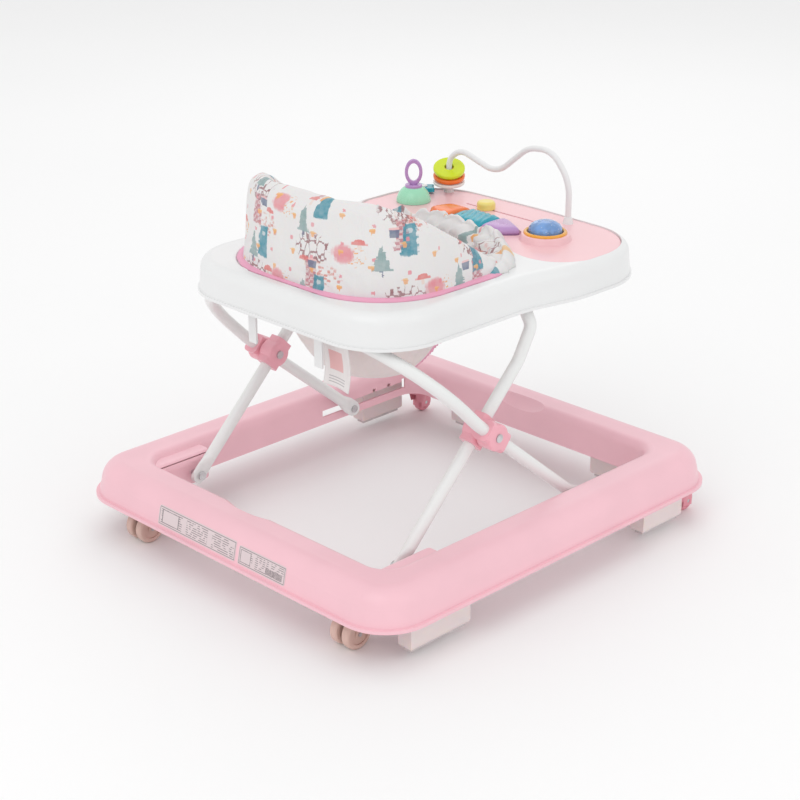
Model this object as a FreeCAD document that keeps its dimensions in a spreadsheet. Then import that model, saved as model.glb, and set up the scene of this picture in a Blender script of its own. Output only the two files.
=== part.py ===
import FreeCAD, Part
import math
import os
import re
import Sketcher
from FreeCAD import Placement, Rotation, Vector

# Baby walker: a wheeled base ring, a folding X frame of bent tubes, and a tray that carries the
# seat and the toys. Frame: origin on the floor under the middle of the base, +Z up, +Y towards
# the toys, +X to the child's right. Millimetres and degrees.

DIMENSIONS = {
    # base ring
    "base_width": 643, "base_length": 700, "base_corner": 70, "flange_height": 56,
    "rail_top": 108, "rail_width": 75, "opening_corner": 30, "rail_wall": 3, "rail_draft": 12,
    "outer_round": 30, "inner_round": 15, "lip_out": 4, "lip_thick": 4.5,
    "scoop_radius": 34, "scoop_span": 128, "scoop_shift": -15, "scoop_rise": 14, "boss_face": 221, "boss_rear": -288,
    "boss_front": -178, "boss_top": 99,
    # folding frame
    "tube_outer": 17.5, "tube_wall": 1.5, "rear_leg_x": 207, "front_leg_x": 233,
    "pivot_y": -213, "pivot_z": 74, "cross_y": -62, "cross_z": 225, "pin_y": 122, "pin_z": 74,
    "bar_y": -223, "bar_z": 380, "top_y": 42, "top_z": 384, "top_x": 194,
    "rivet_radius": 4, "slot_pin_radius": 3.5, "slot_height": 11, "slot_rear": 70, "slot_front": 254,
    "sleeve_length": 44, "sleeve_depth": 25.6, "sleeve_height": 30,
    # wheels and stoppers
    "rear_wheel_x": 216, "rear_wheel_y": -309, "rear_wheel_radius": 22, "rear_wheel_width": 13,
    "wheel_gap": 9, "caster_x": 274, "caster_y": 314, "caster_trail": 10, "caster_radius": 16,
    "caster_width": 13,
    "axle_radius": 3, "stopper_floor": 14, "stopper_width": 24, "side_stopper_x": 291,
    "rear_stopper_length": 110, "rear_stopper_y": -230, "fore_stopper_length": 90,
    "fore_stopper_y": 235, "front_block_length": 70, "front_block_x": 148, "front_block_y": 312,
    # tray
    "tray_floor": 372, "tray_top": 420, "tray_wall": 3, "recess_depth": 9, "panel_thick": 6,
    "hole_half": 178, "saddle_x": 66, "tab_low": 320,
    # seat
    "back_top": 548, "back_thick": 20, "sling_floor": 252,
}

doc = FreeCAD.newDocument("baby_walker")
sheet = doc.addObject("Spreadsheet::Sheet", "Params")
for row, (alias, number) in enumerate(DIMENSIONS.items(), start=1):
    sheet.set(f"A{row}", alias)
    sheet.set(f"B{row}", str(number))
    sheet.setAlias(f"B{row}", alias)
doc.recompute()


def cell(text):
    """Put the sheet's name in front of each alias in an expression."""
    def prefix(match):
        word = match.group()
        return "Params." + word if word in DIMENSIONS else word
    return re.sub(r"[A-Za-z_]\w*", prefix, str(text))


class Sizes:
    """Reads the sheet's numbers as attributes."""
    def __getattr__(self, alias):
        return float(sheet.get(alias))


size = Sizes()
PARTS = []


def keep(item, label):
    """Give a sub-part its label and put it on the list that is written at the end."""
    item.Label = label
    PARTS.append(item)
    return item


def primitive(kind, label, sizes, at=(0, 0, 0), turn=None):
    """A Part primitive whose sizes and place are expressions on the sheet."""
    item = doc.addObject(kind, label)
    for prop, text in sizes.items():
        item.setExpression(prop, cell(text))
    if turn is not None:
        item.Placement = Placement(Vector(), turn)
    for axis, text in zip("xyz", at):
        item.setExpression(f"Placement.Base.{axis}", cell(text))
    return item


def box(label, length, width, height, at):
    return primitive("Part::Box", label, {"Length": length, "Width": width, "Height": height}, at)


ALONG_X = Rotation(Vector(0, 1, 0), 90)
ALONG_Y = Rotation(Vector(1, 0, 0), -90)


def rod(label, radius, length, at, turn=None):
    return primitive("Part::Cylinder", label, {"Radius": radius, "Height": length}, at, turn)


def cut(label, base, *tools):
    """Base minus every tool."""
    result = base
    for count, tool in enumerate(tools):
        step = doc.addObject("Part::Cut", f"{label}_cut{count}")
        step.Base, step.Tool = result, tool
        result = step
    return result


def fuse(label, *items):
    joined = doc.addObject("Part::MultiFuse", f"{label}_fuse")
    joined.Shapes = list(items)
    joined.Refine = True
    return joined


def group(label, *items):
    """Separate solids of one node, such as a left and a right fastener."""
    together = doc.addObject("Part::Compound", f"{label}_group")
    together.Links = list(items)
    return together


def shape_part(label, shape):
    """A sub-part whose shape comes from Part's own functions."""
    item = doc.addObject("Part::Feature", label)
    item.Shape = shape
    return item


# ---------------------------------------------------------------- sketches and outlines

def new_body(name):
    body = doc.addObject("PartDesign::Body", name)
    doc.recompute()
    return body


def plane(body, role):
    return next(item for item in body.Origin.OriginFeatures if item.Role == role)


def new_sketch(body, name, role="XY_Plane", offset="0"):
    sketch = body.newObject("Sketcher::SketchObject", name)
    sketch.AttachmentSupport = [(plane(body, role), "")]
    sketch.MapMode = "FlatFace"
    sketch.setExpression("AttachmentOffset.Base.z", cell(offset))
    return sketch


def bind_datum(sketch, constraint, text):
    index = sketch.addConstraint(constraint)
    sketch.setExpression(f"Constraints[{index}]", cell(text))


def rounded_rectangle(body, name, half_width, half_length, corner, offset):
    """Rounded rectangle about the origin; its sizes are expressions on the sheet."""
    sketch = new_sketch(body, name, offset=offset)
    wide, long, round_off = 300.0, 330.0, 60.0
    corners = [(1, -1, -90), (1, 1, 0), (-1, 1, 90), (-1, -1, 180)]
    for sign_x, sign_y, start in corners:
        centre = Vector(sign_x * (wide - round_off), sign_y * (long - round_off), 0)
        circle = Part.Circle(centre, Vector(0, 0, 1), round_off)
        sketch.addGeometry(Part.ArcOfCircle(circle, math.radians(start), math.radians(start + 90)))
    for first in range(4):
        second = (first + 1) % 4
        start_point = sketch.Geometry[first].EndPoint
        end_point = sketch.Geometry[second].StartPoint
        line = sketch.addGeometry(Part.LineSegment(start_point, end_point))
        sketch.addConstraint(Sketcher.Constraint("Tangent", first, 2, line, 1))
        sketch.addConstraint(Sketcher.Constraint("Tangent", line, 2, second, 1))
        sketch.addConstraint(Sketcher.Constraint("Vertical" if first % 2 == 0 else "Horizontal", line))
    for arc in (1, 2, 3):
        sketch.addConstraint(Sketcher.Constraint("Equal", 0, arc))
    bind_datum(sketch, Sketcher.Constraint("Radius", 0, round_off), corner)
    bind_datum(sketch, Sketcher.Constraint("DistanceX", -1, 1, 4, 1, wide), half_width)
    bind_datum(sketch, Sketcher.Constraint("DistanceX", 6, 1, -1, 1, wide), half_width)
    bind_datum(sketch, Sketcher.Constraint("DistanceY", -1, 1, 5, 1, long), half_length)
    bind_datum(sketch, Sketcher.Constraint("DistanceY", 7, 1, -1, 1, long), half_length)
    return sketch


def rounded_path(points, radii, closed=False):
    """Straight runs through points, with a tangent arc of the given radius at each corner."""
    points = [Vector(*point) for point in points]
    count = len(points)
    pieces, last, first = [], None, None
    for index, (point, radius) in enumerate(zip(points, radii)):
        at_end = not closed and index in (0, count - 1)
        if at_end or radius == 0:
            entry = leave = point
            middle = None
        else:
            back = (points[index - 1] - point).normalize()
            ahead = (points[(index + 1) % count] - point).normalize()
            half = math.acos(max(-1.0, min(1.0, back.dot(ahead)))) / 2
            reach = radius / math.tan(half)
            entry, leave = point + back * reach, point + ahead * reach
            bisector = (back + ahead).normalize()
            middle = point + bisector * (radius / math.sin(half) - radius)
        if last is not None and (entry - last).Length > 1e-6:
            pieces.append(Part.LineSegment(last, entry).toShape())
        if middle is not None:
            pieces.append(Part.Arc(entry, middle, leave).toShape())
        first = entry if first is None else first
        last = leave
    if closed and (first - last).Length > 1e-6:
        pieces.append(Part.LineSegment(last, first).toShape())
    return Part.Wire(pieces)


def mirrored_outline(half, radii, height):
    """Closed outline from its +X half, listed from the rear to the front."""
    other = [(-x, y) for x, y in reversed(half)]
    points = [(x, y, height) for x, y in half + other]
    return rounded_path(points, radii + radii[::-1], closed=True)


def grown(wire, amount):
    """The outline moved outwards by amount, or inwards where it is negative."""
    if amount == 0:
        return wire
    return Part.Face(wire).makeOffset2D(amount).OuterWire


def lifted(wire, height):
    raised = wire.copy()
    raised.translate(Vector(0, 0, height - wire.BoundBox.ZMin))
    return raised


def slab(wire, low, high):
    """Upright solid on an outline, from one height to another."""
    return Part.Face(lifted(wire, low)).extrude(Vector(0, 0, high - low))


def edges_at(shape, height, test=None):
    found = []
    for edge in shape.Edges:
        bounds = edge.BoundBox
        if abs(bounds.ZMin - height) < 1e-4 and abs(bounds.ZMax - height) < 1e-4:
            if test is None or test(edge):
                found.append(edge)
    return found


def bar_along(path, radius):
    """Solid round bar along a path of runs and arcs."""
    start = path.OrderedVertexes[0].Point
    along = path.OrderedEdges[0].tangentAt(path.OrderedEdges[0].FirstParameter)
    if (path.OrderedEdges[0].valueAt(path.OrderedEdges[0].FirstParameter) - start).Length > 1e-6:
        along = path.OrderedEdges[0].tangentAt(path.OrderedEdges[0].LastParameter) * -1
    ring = Part.Wire(Part.makeCircle(radius, start, along))
    return path.makePipeShell([ring], True, False)


def tube_along(path, outer, wall):
    return bar_along(path, outer / 2).cut(bar_along(path, outer / 2 - wall))


# ---------------------------------------------------------------- base ring

def rim_edge(shape, inside):
    """Name of one edge of the top face: on the opening's side, or on the outside."""
    top = shape.BoundBox.ZMax
    reach_x = size.base_width / 2 - size.rail_width + 8
    reach_y = size.base_length / 2 - size.rail_width + 8
    for index, edge in enumerate(shape.Edges, start=1):
        middle = edge.valueAt((edge.FirstParameter + edge.LastParameter) / 2)
        level = abs(edge.BoundBox.ZMin - top) < 1e-3
        if level and inside == (abs(middle.x) < reach_x and abs(middle.y) < reach_y):
            return f"Edge{index}"
    raise ValueError("no rim edge")


def ring_solid(name, inset, low):
    """The rail's form: drafted rounded rectangle with an opening and both top edges rounded."""
    body = new_body(name)
    pad = body.newObject("PartDesign::Pad", f"{name}_pad")
    pad.Profile = rounded_rectangle(
        body, f"{name}_outline", f"base_width / 2 - lip_out - ({inset})",
        f"base_length / 2 - lip_out - ({inset})", f"base_corner - lip_out - ({inset})", low)
    pad.setExpression("Length", cell(f"rail_top - ({inset}) - ({low})"))
    pad.setExpression("TaperAngle", cell("-rail_draft"))
    doc.recompute()
    pocket = body.newObject("PartDesign::Pocket", f"{name}_pocket")
    pocket.Profile = rounded_rectangle(
        body, f"{name}_opening", f"base_width / 2 - rail_width + ({inset})",
        f"base_length / 2 - rail_width + ({inset})", f"opening_corner + ({inset})", low)
    pocket.Type = "ThroughAll"
    pocket.Reversed = True
    doc.recompute()
    last = pocket
    for side, inside in (("outer_round", False), ("inner_round", True)):
        rounding = body.newObject("PartDesign::Fillet", f"{name}_{side}")
        rounding.Base = (last, [rim_edge(last.Shape, inside)])
        rounding.setExpression("Radius", cell(f"{side} - ({inset})"))
        doc.recompute()
        last = rounding
    return body


def flange_lip():
    """The thin edge that stands out round the rail's foot."""
    body = new_body("lip")
    pad = body.newObject("PartDesign::Pad", "lip_pad")
    pad.Profile = rounded_rectangle(body, "lip_outline", "base_width / 2", "base_length / 2",
                                    "base_corner", "flange_height")
    pad.setExpression("Length", cell("lip_thick"))
    doc.recompute()
    pocket = body.newObject("PartDesign::Pocket", "lip_pocket")
    pocket.Profile = rounded_rectangle(body, "lip_opening", "base_width / 2 - lip_out - rail_wall",
                                       "base_length / 2 - lip_out - rail_wall",
                                       "base_corner - lip_out - rail_wall", "flange_height")
    pocket.Type = "ThroughAll"
    pocket.Reversed = True
    doc.recompute()
    return body


def scoop(name, sign, extra=0):
    """A rod that hollows the inner shoulder of the front or the rear rail; extra adds to its radius."""
    half = size.scoop_span / 2
    side = size.base_length / 2 - size.rail_width
    ball_back = 14
    path = rounded_path([(size.scoop_shift - half, sign * (side - ball_back), size.rail_top + size.scoop_rise + 24),
                         (size.scoop_shift - half / 3, sign * (side - ball_back), size.rail_top + size.scoop_rise),
                         (size.scoop_shift + half / 3, sign * (side - ball_back), size.rail_top + size.scoop_rise),
                         (size.scoop_shift + half, sign * (side - ball_back), size.rail_top + size.scoop_rise + 24)],
                        [0, 60, 60, 0])
    return shape_part(name, bar_along(path, size.scoop_radius + extra))


def boss_block(name, sign, shrink):
    """The pad on the rail's inner wall that a rear leg is riveted to."""
    wall_x = "base_width / 2 - rail_width"
    length = f"{wall_x} + rail_wall + 2 - boss_face - ({shrink})"
    left = f"boss_face + ({shrink})" if sign > 0 else f"-({wall_x}) - rail_wall - 2"
    block = box(name, length, f"boss_front - boss_rear - 2 * ({shrink})",
                f"boss_top - flange_height - ({shrink})",
                (left, f"boss_rear + ({shrink})", "flange_height"))
    return block


def rounded_block(name, block, radius, test):
    """A primitive with some of its edges rounded."""
    doc.recompute()
    rounding = doc.addObject("Part::Fillet", f"{name}_round")
    rounding.Base = block
    rounding.Edges = [(index, radius, radius)
                      for index, edge in enumerate(block.Shape.Edges, start=1) if test(edge)]
    return rounding


def facing_in(edge):
    """True for the edges of a boss that face the opening, apart from the lowest."""
    bounds = edge.BoundBox
    reach = size.base_width / 2 - size.rail_width - 5
    near = max(abs(bounds.XMin), abs(bounds.XMax)) < reach
    return near and bounds.ZMax > size.flange_height + 1


def slot_tool(name, sign):
    """The long slot that a front leg's pin runs in, with three notches above it."""
    wall_x = "base_width / 2 - rail_width"
    left = f"{wall_x} - 4" if sign > 0 else f"-({wall_x}) - 10"
    run = box(f"{name}_run", "14", "slot_front - slot_rear", "slot_height",
              (left, "slot_rear", "pin_z - slot_height / 2"))
    notches = [box(f"{name}_notch{count}", "14", "7", "slot_height",
                   (left, f"slot_front - 7 - {count} * 33", "pin_z"))
               for count in range(3)]
    return fuse(name, run, *notches)


def build_base_frame():
    hollow = cut("rail_hollow", ring_solid("rail_inside", "rail_wall", "flange_height - 1"),
                 scoop("front_scoop_wall", 1, size.rail_wall),
                 scoop("rear_scoop_wall", -1, size.rail_wall))
    shell = cut("rail", ring_solid("rail_outside", "0", "flange_height"), hollow,
                scoop("front_scoop", 1), scoop("rear_scoop", -1))
    bosses, cavities, slots, pin_holes = [], [], [], []
    for side, sign in (("right", 1), ("left", -1)):
        block = boss_block(f"boss_{side}", sign, "0")
        bosses.append(rounded_block(f"boss_{side}", block, 12, facing_in))
        cavities.append(boss_block(f"boss_cavity_{side}", sign, "rail_wall"))
        slots.append(slot_tool(f"slot_{side}", sign))
        start = "boss_face - 2" if sign > 0 else "-boss_face - 8"
        pin_holes.append(rod(f"rivet_hole_{side}", "rivet_radius", "10",
                             (start, "pivot_y", "pivot_z"), ALONG_X))
    bossed = cut("bosses", fuse("bosses", *bosses), *cavities)
    whole = fuse("base", shell, flange_lip(), bossed)
    return keep(cut("base_frame", whole, *slots, *pin_holes), "base_frame")


def build_rear_pivots():
    """A rivet through each rear leg's foot and boss, headed on the inner side."""
    rivets = []
    for side, sign in (("right", 1), ("left", -1)):
        reach = "boss_face + rail_wall + 3 - (rear_leg_x - 7)"
        start = "rear_leg_x - 7" if sign > 0 else "-(boss_face + rail_wall + 3)"
        shank = rod(f"pivot_shank_{side}", "rivet_radius - 0.05", reach,
                    (start, "pivot_y", "pivot_z"), ALONG_X)
        head_start = "rear_leg_x - 9" if sign > 0 else "-(rear_leg_x - 6.5)"
        head = rod(f"pivot_head_{side}", "rivet_radius + 2.5", "2.5",
                   (head_start, "pivot_y", "pivot_z"), ALONG_X)
        rivets.append(fuse(f"pivot_rivet_{side}", shank, head))
    return keep(group("rear_pivot_rivets", *rivets), "rear_pivot_rivets")


def stopper_cup(name, length_x, length_y, centre_x, centre_y):
    """A hollow block that hangs from the flange to just above the floor."""
    floor = "stopper_floor"
    left, near = f"({centre_x}) - ({length_x}) / 2", f"({centre_y}) - ({length_y}) / 2"
    outside = box(name, length_x, length_y, f"flange_height + 6 - {floor}", (left, near, floor))
    shaped = rounded_block(name, outside, 5, lambda edge: edge.BoundBox.ZMax < size.flange_height)
    hollow = box(f"{name}_hollow", f"{length_x} - 6", f"{length_y} - 6",
                 f"flange_height + 4 - {floor}", (f"{left} + 3", f"{near} + 3", f"{floor} + 3"))
    return cut(name, shaped, hollow)


def grip_strip(name, length_x, length_y, centre_x, centre_y):
    """The rubber strip under a stopper block."""
    return box(name, f"{length_x} - 10", f"{length_y} - 10", "4",
               (f"({centre_x}) - ({length_x}) / 2 + 5", f"({centre_y}) - ({length_y}) / 2 + 5",
                "stopper_floor - 4"))


def build_stoppers():
    cups, strips = [], []
    for place in ("rear", "fore"):
        for side, centre_x in (("right", "side_stopper_x"), ("left", "-side_stopper_x")):
            spot = ("stopper_width", f"{place}_stopper_length", centre_x, f"{place}_stopper_y")
            cups.append(stopper_cup(f"cup_{place}_{side}", *spot))
            strips.append(grip_strip(f"strip_{place}_{side}", *spot))
    keep(group("side_stoppers", *cups), "side_stoppers")
    blocks = []
    for side, centre_x in (("right", "front_block_x"), ("left", "-front_block_x")):
        spot = ("front_block_length", "stopper_width", centre_x, "front_block_y")
        blocks.append(stopper_cup(f"front_cup_{side}", *spot))
        strips.append(grip_strip(f"front_strip_{side}", *spot))
    keep(group("front_stopper", *blocks), "front_stopper")
    keep(group("stopper_grips", *strips), "stopper_grips")


def sticker(label, left, right, low, high):
    """A thin skin of the rail's rear face between two heights, as a stuck-on sheet."""
    outer = ring_solid(f"{label}_skin", "-0.35", "flange_height")
    core = ring_solid(f"{label}_core", "-0.05", "flange_height")
    rear = size.base_length / 2
    frame = Part.makeBox(right - left, 30, high - low, Vector(left, -rear - 4, low))
    corners = [edge for edge in frame.Edges if edge.BoundBox.YLength > 20]
    window = frame.makeFillet(3, corners)
    return keep(shape_part(label, outer.Shape.cut(core.Shape).common(window)), label)


# ---------------------------------------------------------------- wheels

def wheel_solid(name, radius, width, start, centre_y, bore):
    """A moulded wheel: rounded tread, recessed sides and a hub bored for its axle."""
    wheel = rod(f"{name}_disc", radius, width, (start, centre_y, radius), ALONG_X)
    doc.recompute()
    rounding = doc.addObject("Part::Fillet", f"{name}_tread")
    rounding.Base = wheel
    rim = [index for index, edge in enumerate(wheel.Shape.Edges, start=1)
           if edge.BoundBox.XLength < 1e-3 and edge.BoundBox.ZLength > 1]
    rounding.Edges = [(index, 3.5, 3.5) for index in rim]
    dish = rod(f"{name}_dish", f"{radius} * 0.68", "2.5", (f"{start} - 0.5", centre_y, radius), ALONG_X)
    back = rod(f"{name}_back", f"{radius} * 0.68", "2.5",
               (f"{start} + {width} - 2", centre_y, radius), ALONG_X)
    hub = rod(f"{name}_hub", "axle_radius + 3.5", width, (start, centre_y, radius), ALONG_X)
    hole = rod(f"{name}_bore", bore, f"{width} + 2", (f"{start} - 1", centre_y, radius), ALONG_X)
    return cut(name, fuse(name, cut(f"{name}_web", rounding, dish, back), hub), hole)


def build_rear_wheels():
    """Twin wheels each side, on an axle through a mount that hangs from the rail."""
    mounts, axles = [], []
    for side, sign in (("right", 1), ("left", -1)):
        centre = "rear_wheel_x" if sign > 0 else "-rear_wheel_x"
        spot = ("rear_wheel_y", "rear_wheel_radius")
        outer = wheel_solid(f"twin_outer_{side}", "rear_wheel_radius", "rear_wheel_width",
                            f"{centre} + wheel_gap / 2", spot[0], "axle_radius + 0.08")
        inner = wheel_solid(f"twin_inner_{side}", "rear_wheel_radius", "rear_wheel_width",
                            f"{centre} - wheel_gap / 2 - rear_wheel_width", spot[0],
                            "axle_radius + 0.08")
        keep(group(f"rear_wheels_{side}", outer, inner), f"rear_wheels_{side}")
        axles.append(rod(f"rear_axle_{side}", "axle_radius", "wheel_gap + 2 * rear_wheel_width + 3",
                         (f"{centre} - wheel_gap / 2 - rear_wheel_width - 1.5", *spot), ALONG_X))
        web = box(f"mount_web_{side}", "wheel_gap - 2", "18", "rail_top - 12 - 14",
                  (f"{centre} - wheel_gap / 2 + 1", "rear_wheel_y - 9", "14"))
        cap = box(f"mount_cap_{side}", "34", "30", "10",
                  (f"{centre} - 17", "rear_wheel_y - 15", "flange_height - 4"))
        hole = rod(f"mount_hole_{side}", "axle_radius + 0.02", "wheel_gap",
                   (f"{centre} - wheel_gap / 2", *spot), ALONG_X)
        mounts.append(cut(f"mount_{side}", fuse(f"mount_{side}", web, cap), hole))
    keep(group("rear_wheel_mounts", *mounts), "rear_wheel_mounts")
    keep(group("rear_axles", *axles), "rear_axles")


def build_front_casters():
    """A swivelling cone-shaped fork each side, its stem in a socket, with one wheel inside."""
    sockets = []
    axle_y = "caster_y + caster_trail"
    for side, sign in (("right", 1), ("left", -1)):
        centre = "caster_x" if sign > 0 else "-caster_x"
        stem = rod(f"caster_stem_{side}", "5", "32", (centre, "caster_y", "flange_height - 4"))
        cone = primitive("Part::Cone", f"caster_cone_{side}",
                         {"Radius1": "12", "Radius2": "21", "Height": "flange_height - 20 - 1"},
                         (centre, "caster_y", "20"))
        cheeks = box(f"caster_cheeks_{side}", "caster_width + 7", "20", "24",
                     (f"{centre} - caster_width / 2 - 3.5", f"{axle_y} - 12", "9"))
        tunnel = box(f"caster_tunnel_{side}", "caster_width + 2", "60", "31",
                     (f"{centre} - caster_width / 2 - 1", f"{axle_y} - 30", "4"))
        hole = rod(f"caster_axle_hole_{side}", "axle_radius + 0.02", "60",
                   (f"{centre} - 30", axle_y, "caster_radius"), ALONG_X)
        keep(cut(f"caster_fork_{side}", fuse(f"caster_fork_{side}", stem, cone, cheeks), tunnel, hole),
             f"caster_fork_{side}")
        keep(rod(f"caster_axle_{side}", "axle_radius", "caster_width + 6",
                 (f"{centre} - caster_width / 2 - 3", axle_y, "caster_radius"),
                 ALONG_X), f"caster_axle_{side}")
        keep(wheel_solid(f"caster_wheel_{side}", "caster_radius", "caster_width",
                         f"{centre} - caster_width / 2", axle_y, "axle_radius + 0.08"),
             f"caster_wheel_{side}")
        housing = rod(f"socket_{side}", "8.4", "34", (centre, "caster_y", "flange_height + 2"))
        bore = rod(f"socket_bore_{side}", "5.05", "30", (centre, "caster_y", "flange_height + 1"))
        sockets.append(cut(f"socket_{side}", housing, bore))
    keep(group("caster_sockets", *sockets), "caster_sockets")


# ---------------------------------------------------------------- folding frame

def ellipse_wire(centre, half_x, half_n, along):
    """An ellipse square to a direction in the YZ plane, its first half-axis along X."""
    points = (Vector(half_x, 0, 0), along.cross(Vector(1, 0, 0)) * half_n)
    if half_x >= half_n:
        curve = Part.Ellipse(centre + points[0], centre + points[1], centre)
    else:
        curve = Part.Ellipse(centre + points[1], centre + points[0], centre)
    return Part.Wire(curve.toShape())


def tube_foot(x, foot, toward):
    """The pressed end of a tube: flat and round-ended at the rivet, round again at the shaft."""
    foot, toward = Vector(x, *foot), Vector(x, *toward)
    along = (toward - foot).normalize()
    across = along.cross(Vector(1, 0, 0))
    flat, wide, outer = 4.5, 12.5, size.tube_outer / 2
    blade = Part.Face(ellipse_wire(foot - along * wide, flat, wide, along)).extrude(along * (wide + 12))
    disc = Part.makeCylinder(wide, 30, foot - Vector(15, 0, 0), Vector(1, 0, 0))
    strip = Part.Wire(Part.makePolygon([foot - across * 20 - Vector(15, 0, 0),
                                        foot + across * 20 - Vector(15, 0, 0),
                                        foot + across * 20 + along * 20 - Vector(15, 0, 0),
                                        foot - across * 20 + along * 20 - Vector(15, 0, 0),
                                        foot - across * 20 - Vector(15, 0, 0)]))
    keep_zone = disc.fuse(Part.Face(strip).extrude(Vector(30, 0, 0)))
    neck = Part.makeLoft([ellipse_wire(foot + along * 12, flat, wide, along),
                          ellipse_wire(foot + along * 21, (flat + outer) / 2, (wide + outer) / 2, along),
                          ellipse_wire(foot + along * 30, outer + 0.12, outer + 0.11, along)], True)
    return blade.common(keep_zone).fuse(neck), foot + along * 30


def drilled(shape, x, foot, radius):
    return shape.cut(Part.makeCylinder(radius, 40, Vector(x - 20, *foot), Vector(1, 0, 0)))


def unit_between(first, second):
    return (Vector(0, *second) - Vector(0, *first)).normalize()


def sleeve(x, direction):
    """A clamp sleeve round a tube at the cross, with a boss towards its twin."""
    centre = Vector(x, size.cross_y, size.cross_z)
    across = direction.cross(Vector(1, 0, 0))
    half_x, half_n = size.sleeve_depth / 2, size.sleeve_height / 2
    start = centre - direction * (size.sleeve_length / 2)
    corners = [start + Vector(half_x * a, 0, 0) + across * (half_n * b)
               for a, b in ((-1, -1), (1, -1), (1, 1), (-1, 1), (-1, -1))]
    block = Part.Face(Part.Wire(Part.makePolygon(corners))).extrude(direction * size.sleeve_length)
    long_edges = [edge for edge in block.Edges if abs(edge.Length - size.sleeve_length) < 1e-3]
    block = block.makeFillet(6.5, long_edges)
    collar = Part.makeCylinder(19, size.sleeve_depth, centre - Vector(half_x, 0, 0), Vector(1, 0, 0))
    collar = collar.makeFillet(3, [edge for edge in collar.Edges if edge.BoundBox.XLength < 1e-3])
    bore = Part.makeCylinder(size.tube_outer / 2, 120, centre - direction * 60, direction)
    hole = Part.makeCylinder(size.rivet_radius + 0.06, 80, centre - Vector(40, 0, 0), Vector(1, 0, 0))
    return block.fuse(collar).removeSplitter().cut(bore).cut(hole)


def build_rear_legs():
    """The two tubes that rise from the rear pivots and run in the tray's sides."""
    pivot, cross = (size.pivot_y, size.pivot_z), (size.cross_y, size.cross_z)
    direction = unit_between(pivot, cross)
    for side, sign in (("right", 1), ("left", -1)):
        x, top_x = sign * size.rear_leg_x, sign * size.top_x
        foot, start = tube_foot(x, pivot, cross)
        bend = Vector(x, *cross) + direction * 112
        path = rounded_path([tuple(start), tuple(bend),
                             (x, size.top_y, size.top_z - 36),
                             (top_x, size.top_y, size.top_z - 14),
                             (top_x, size.top_y, size.top_z)], [0, 38, 22, 22, 0])
        tube = tube_along(path, size.tube_outer, size.tube_wall)
        tube = drilled(tube.fuse(foot), x, pivot, size.rivet_radius + 0.05)
        tube = drilled(tube, x, cross, size.rivet_radius + 0.06)
        keep(shape_part(f"rear_leg_tube_{side}", tube), f"rear_leg_tube_{side}")
        keep(shape_part(f"rear_leg_sleeve_{side}", sleeve(x, direction)),
             f"rear_leg_sleeve_{side}")
        cap = Part.makeCylinder(11, 11, Vector(top_x, size.top_y, size.top_z - 8))
        seat = Part.makeCylinder(size.tube_outer / 2, 8, Vector(top_x, size.top_y, size.top_z - 8))
        cap = cap.makeFillet(2, edges_at(cap, size.top_z + 3)).cut(seat)
        keep(shape_part(f"rear_leg_slider_{side}", cap), f"rear_leg_slider_{side}")


def build_front_leg():
    """One bent tube: both front arms and the cross bar under the tray's rear."""
    pin, cross = (size.pin_y, size.pin_z), (size.cross_y, size.cross_z)
    direction = unit_between(pin, cross)
    x, corner = size.front_leg_x, 150
    feet, starts, kinks = [], [], []
    for sign in (1, -1):
        foot, start = tube_foot(sign * x, pin, cross)
        feet.append(foot)
        starts.append(tuple(start))
        kinks.append(tuple(Vector(sign * x, *cross) + direction * 36))
    path = rounded_path([starts[0], kinks[0], (x, size.bar_y, size.bar_z),
                         (-x, size.bar_y, size.bar_z), kinks[1], starts[1]],
                        [0, 160, corner, corner, 160, 0])
    tube = tube_along(path, size.tube_outer, size.tube_wall)
    for sign, foot in zip((1, -1), feet):
        tube = drilled(tube.fuse(foot), sign * x, pin, size.slot_pin_radius + 0.02)
        tube = drilled(tube, sign * x, cross, size.rivet_radius + 0.06)
    keep(shape_part("front_leg_tube", tube), "front_leg_tube")
    sleeves = Part.makeCompound([sleeve(sign * x, direction) for sign in (1, -1)])
    keep(shape_part("front_leg_sleeves", sleeves), "front_leg_sleeves")
    rivets, pins = [], []
    wall_x = size.base_width / 2 - size.rail_width
    for sign in (1, -1):
        outward = Vector(sign, 0, 0)
        inner_face = size.rear_leg_x - size.sleeve_depth / 2 - 2.2
        outer_face = x + size.sleeve_depth / 2
        at = Vector(sign * inner_face, *cross)
        shank = Part.makeCylinder(size.rivet_radius, outer_face - inner_face + 1.4, at, outward)
        inner_head = Part.makeCylinder(6, 2, at, outward)
        outer_head = Part.makeCylinder(6, 1.4, Vector(sign * outer_face, *cross), outward)
        rivets.append(shank.fuse(inner_head).fuse(outer_head))
        start = x - 6.5
        at = Vector(sign * start, *pin)
        shank = Part.makeCylinder(size.slot_pin_radius, wall_x + 7 - start, at, outward)
        head = Part.makeCylinder(6, 2, at, outward)
        tail = Part.makeCylinder(8, 2, Vector(sign * (wall_x + 5), *pin), outward)
        pins.append(shank.fuse(head).fuse(tail))
    keep(shape_part("cross_rivets", Part.makeCompound(rivets)), "cross_rivets")
    keep(shape_part("slot_pins", Part.makeCompound(pins)), "slot_pins")


# ---------------------------------------------------------------- tray

def bowed_outline(half, radii):
    """Closed outline from its +X half, which ends at a point on the middle line."""
    points = [(x, y, 0) for x, y in half] + [(-x, y, 0) for x, y in half[-2::-1] if x != 0]
    return rounded_path(points, radii + radii[-2::-1][:len(points) - len(half)], closed=True)


def tray_outline():
    return bowed_outline([(210, -244), (210, 30), (229, 118), (229, 292), (0, 302)],
                         [94, 200, 200, 108, 900])


def hole_outline():
    """Seat opening: wide at the rear and sides, drawn in to a blunt point at the toys."""
    half_width = size.hole_half
    half = [(half_width - 4, -214), (half_width, 38), (66, 124)]
    return mirrored_outline(half, [116, 92, 62], 0)


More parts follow.
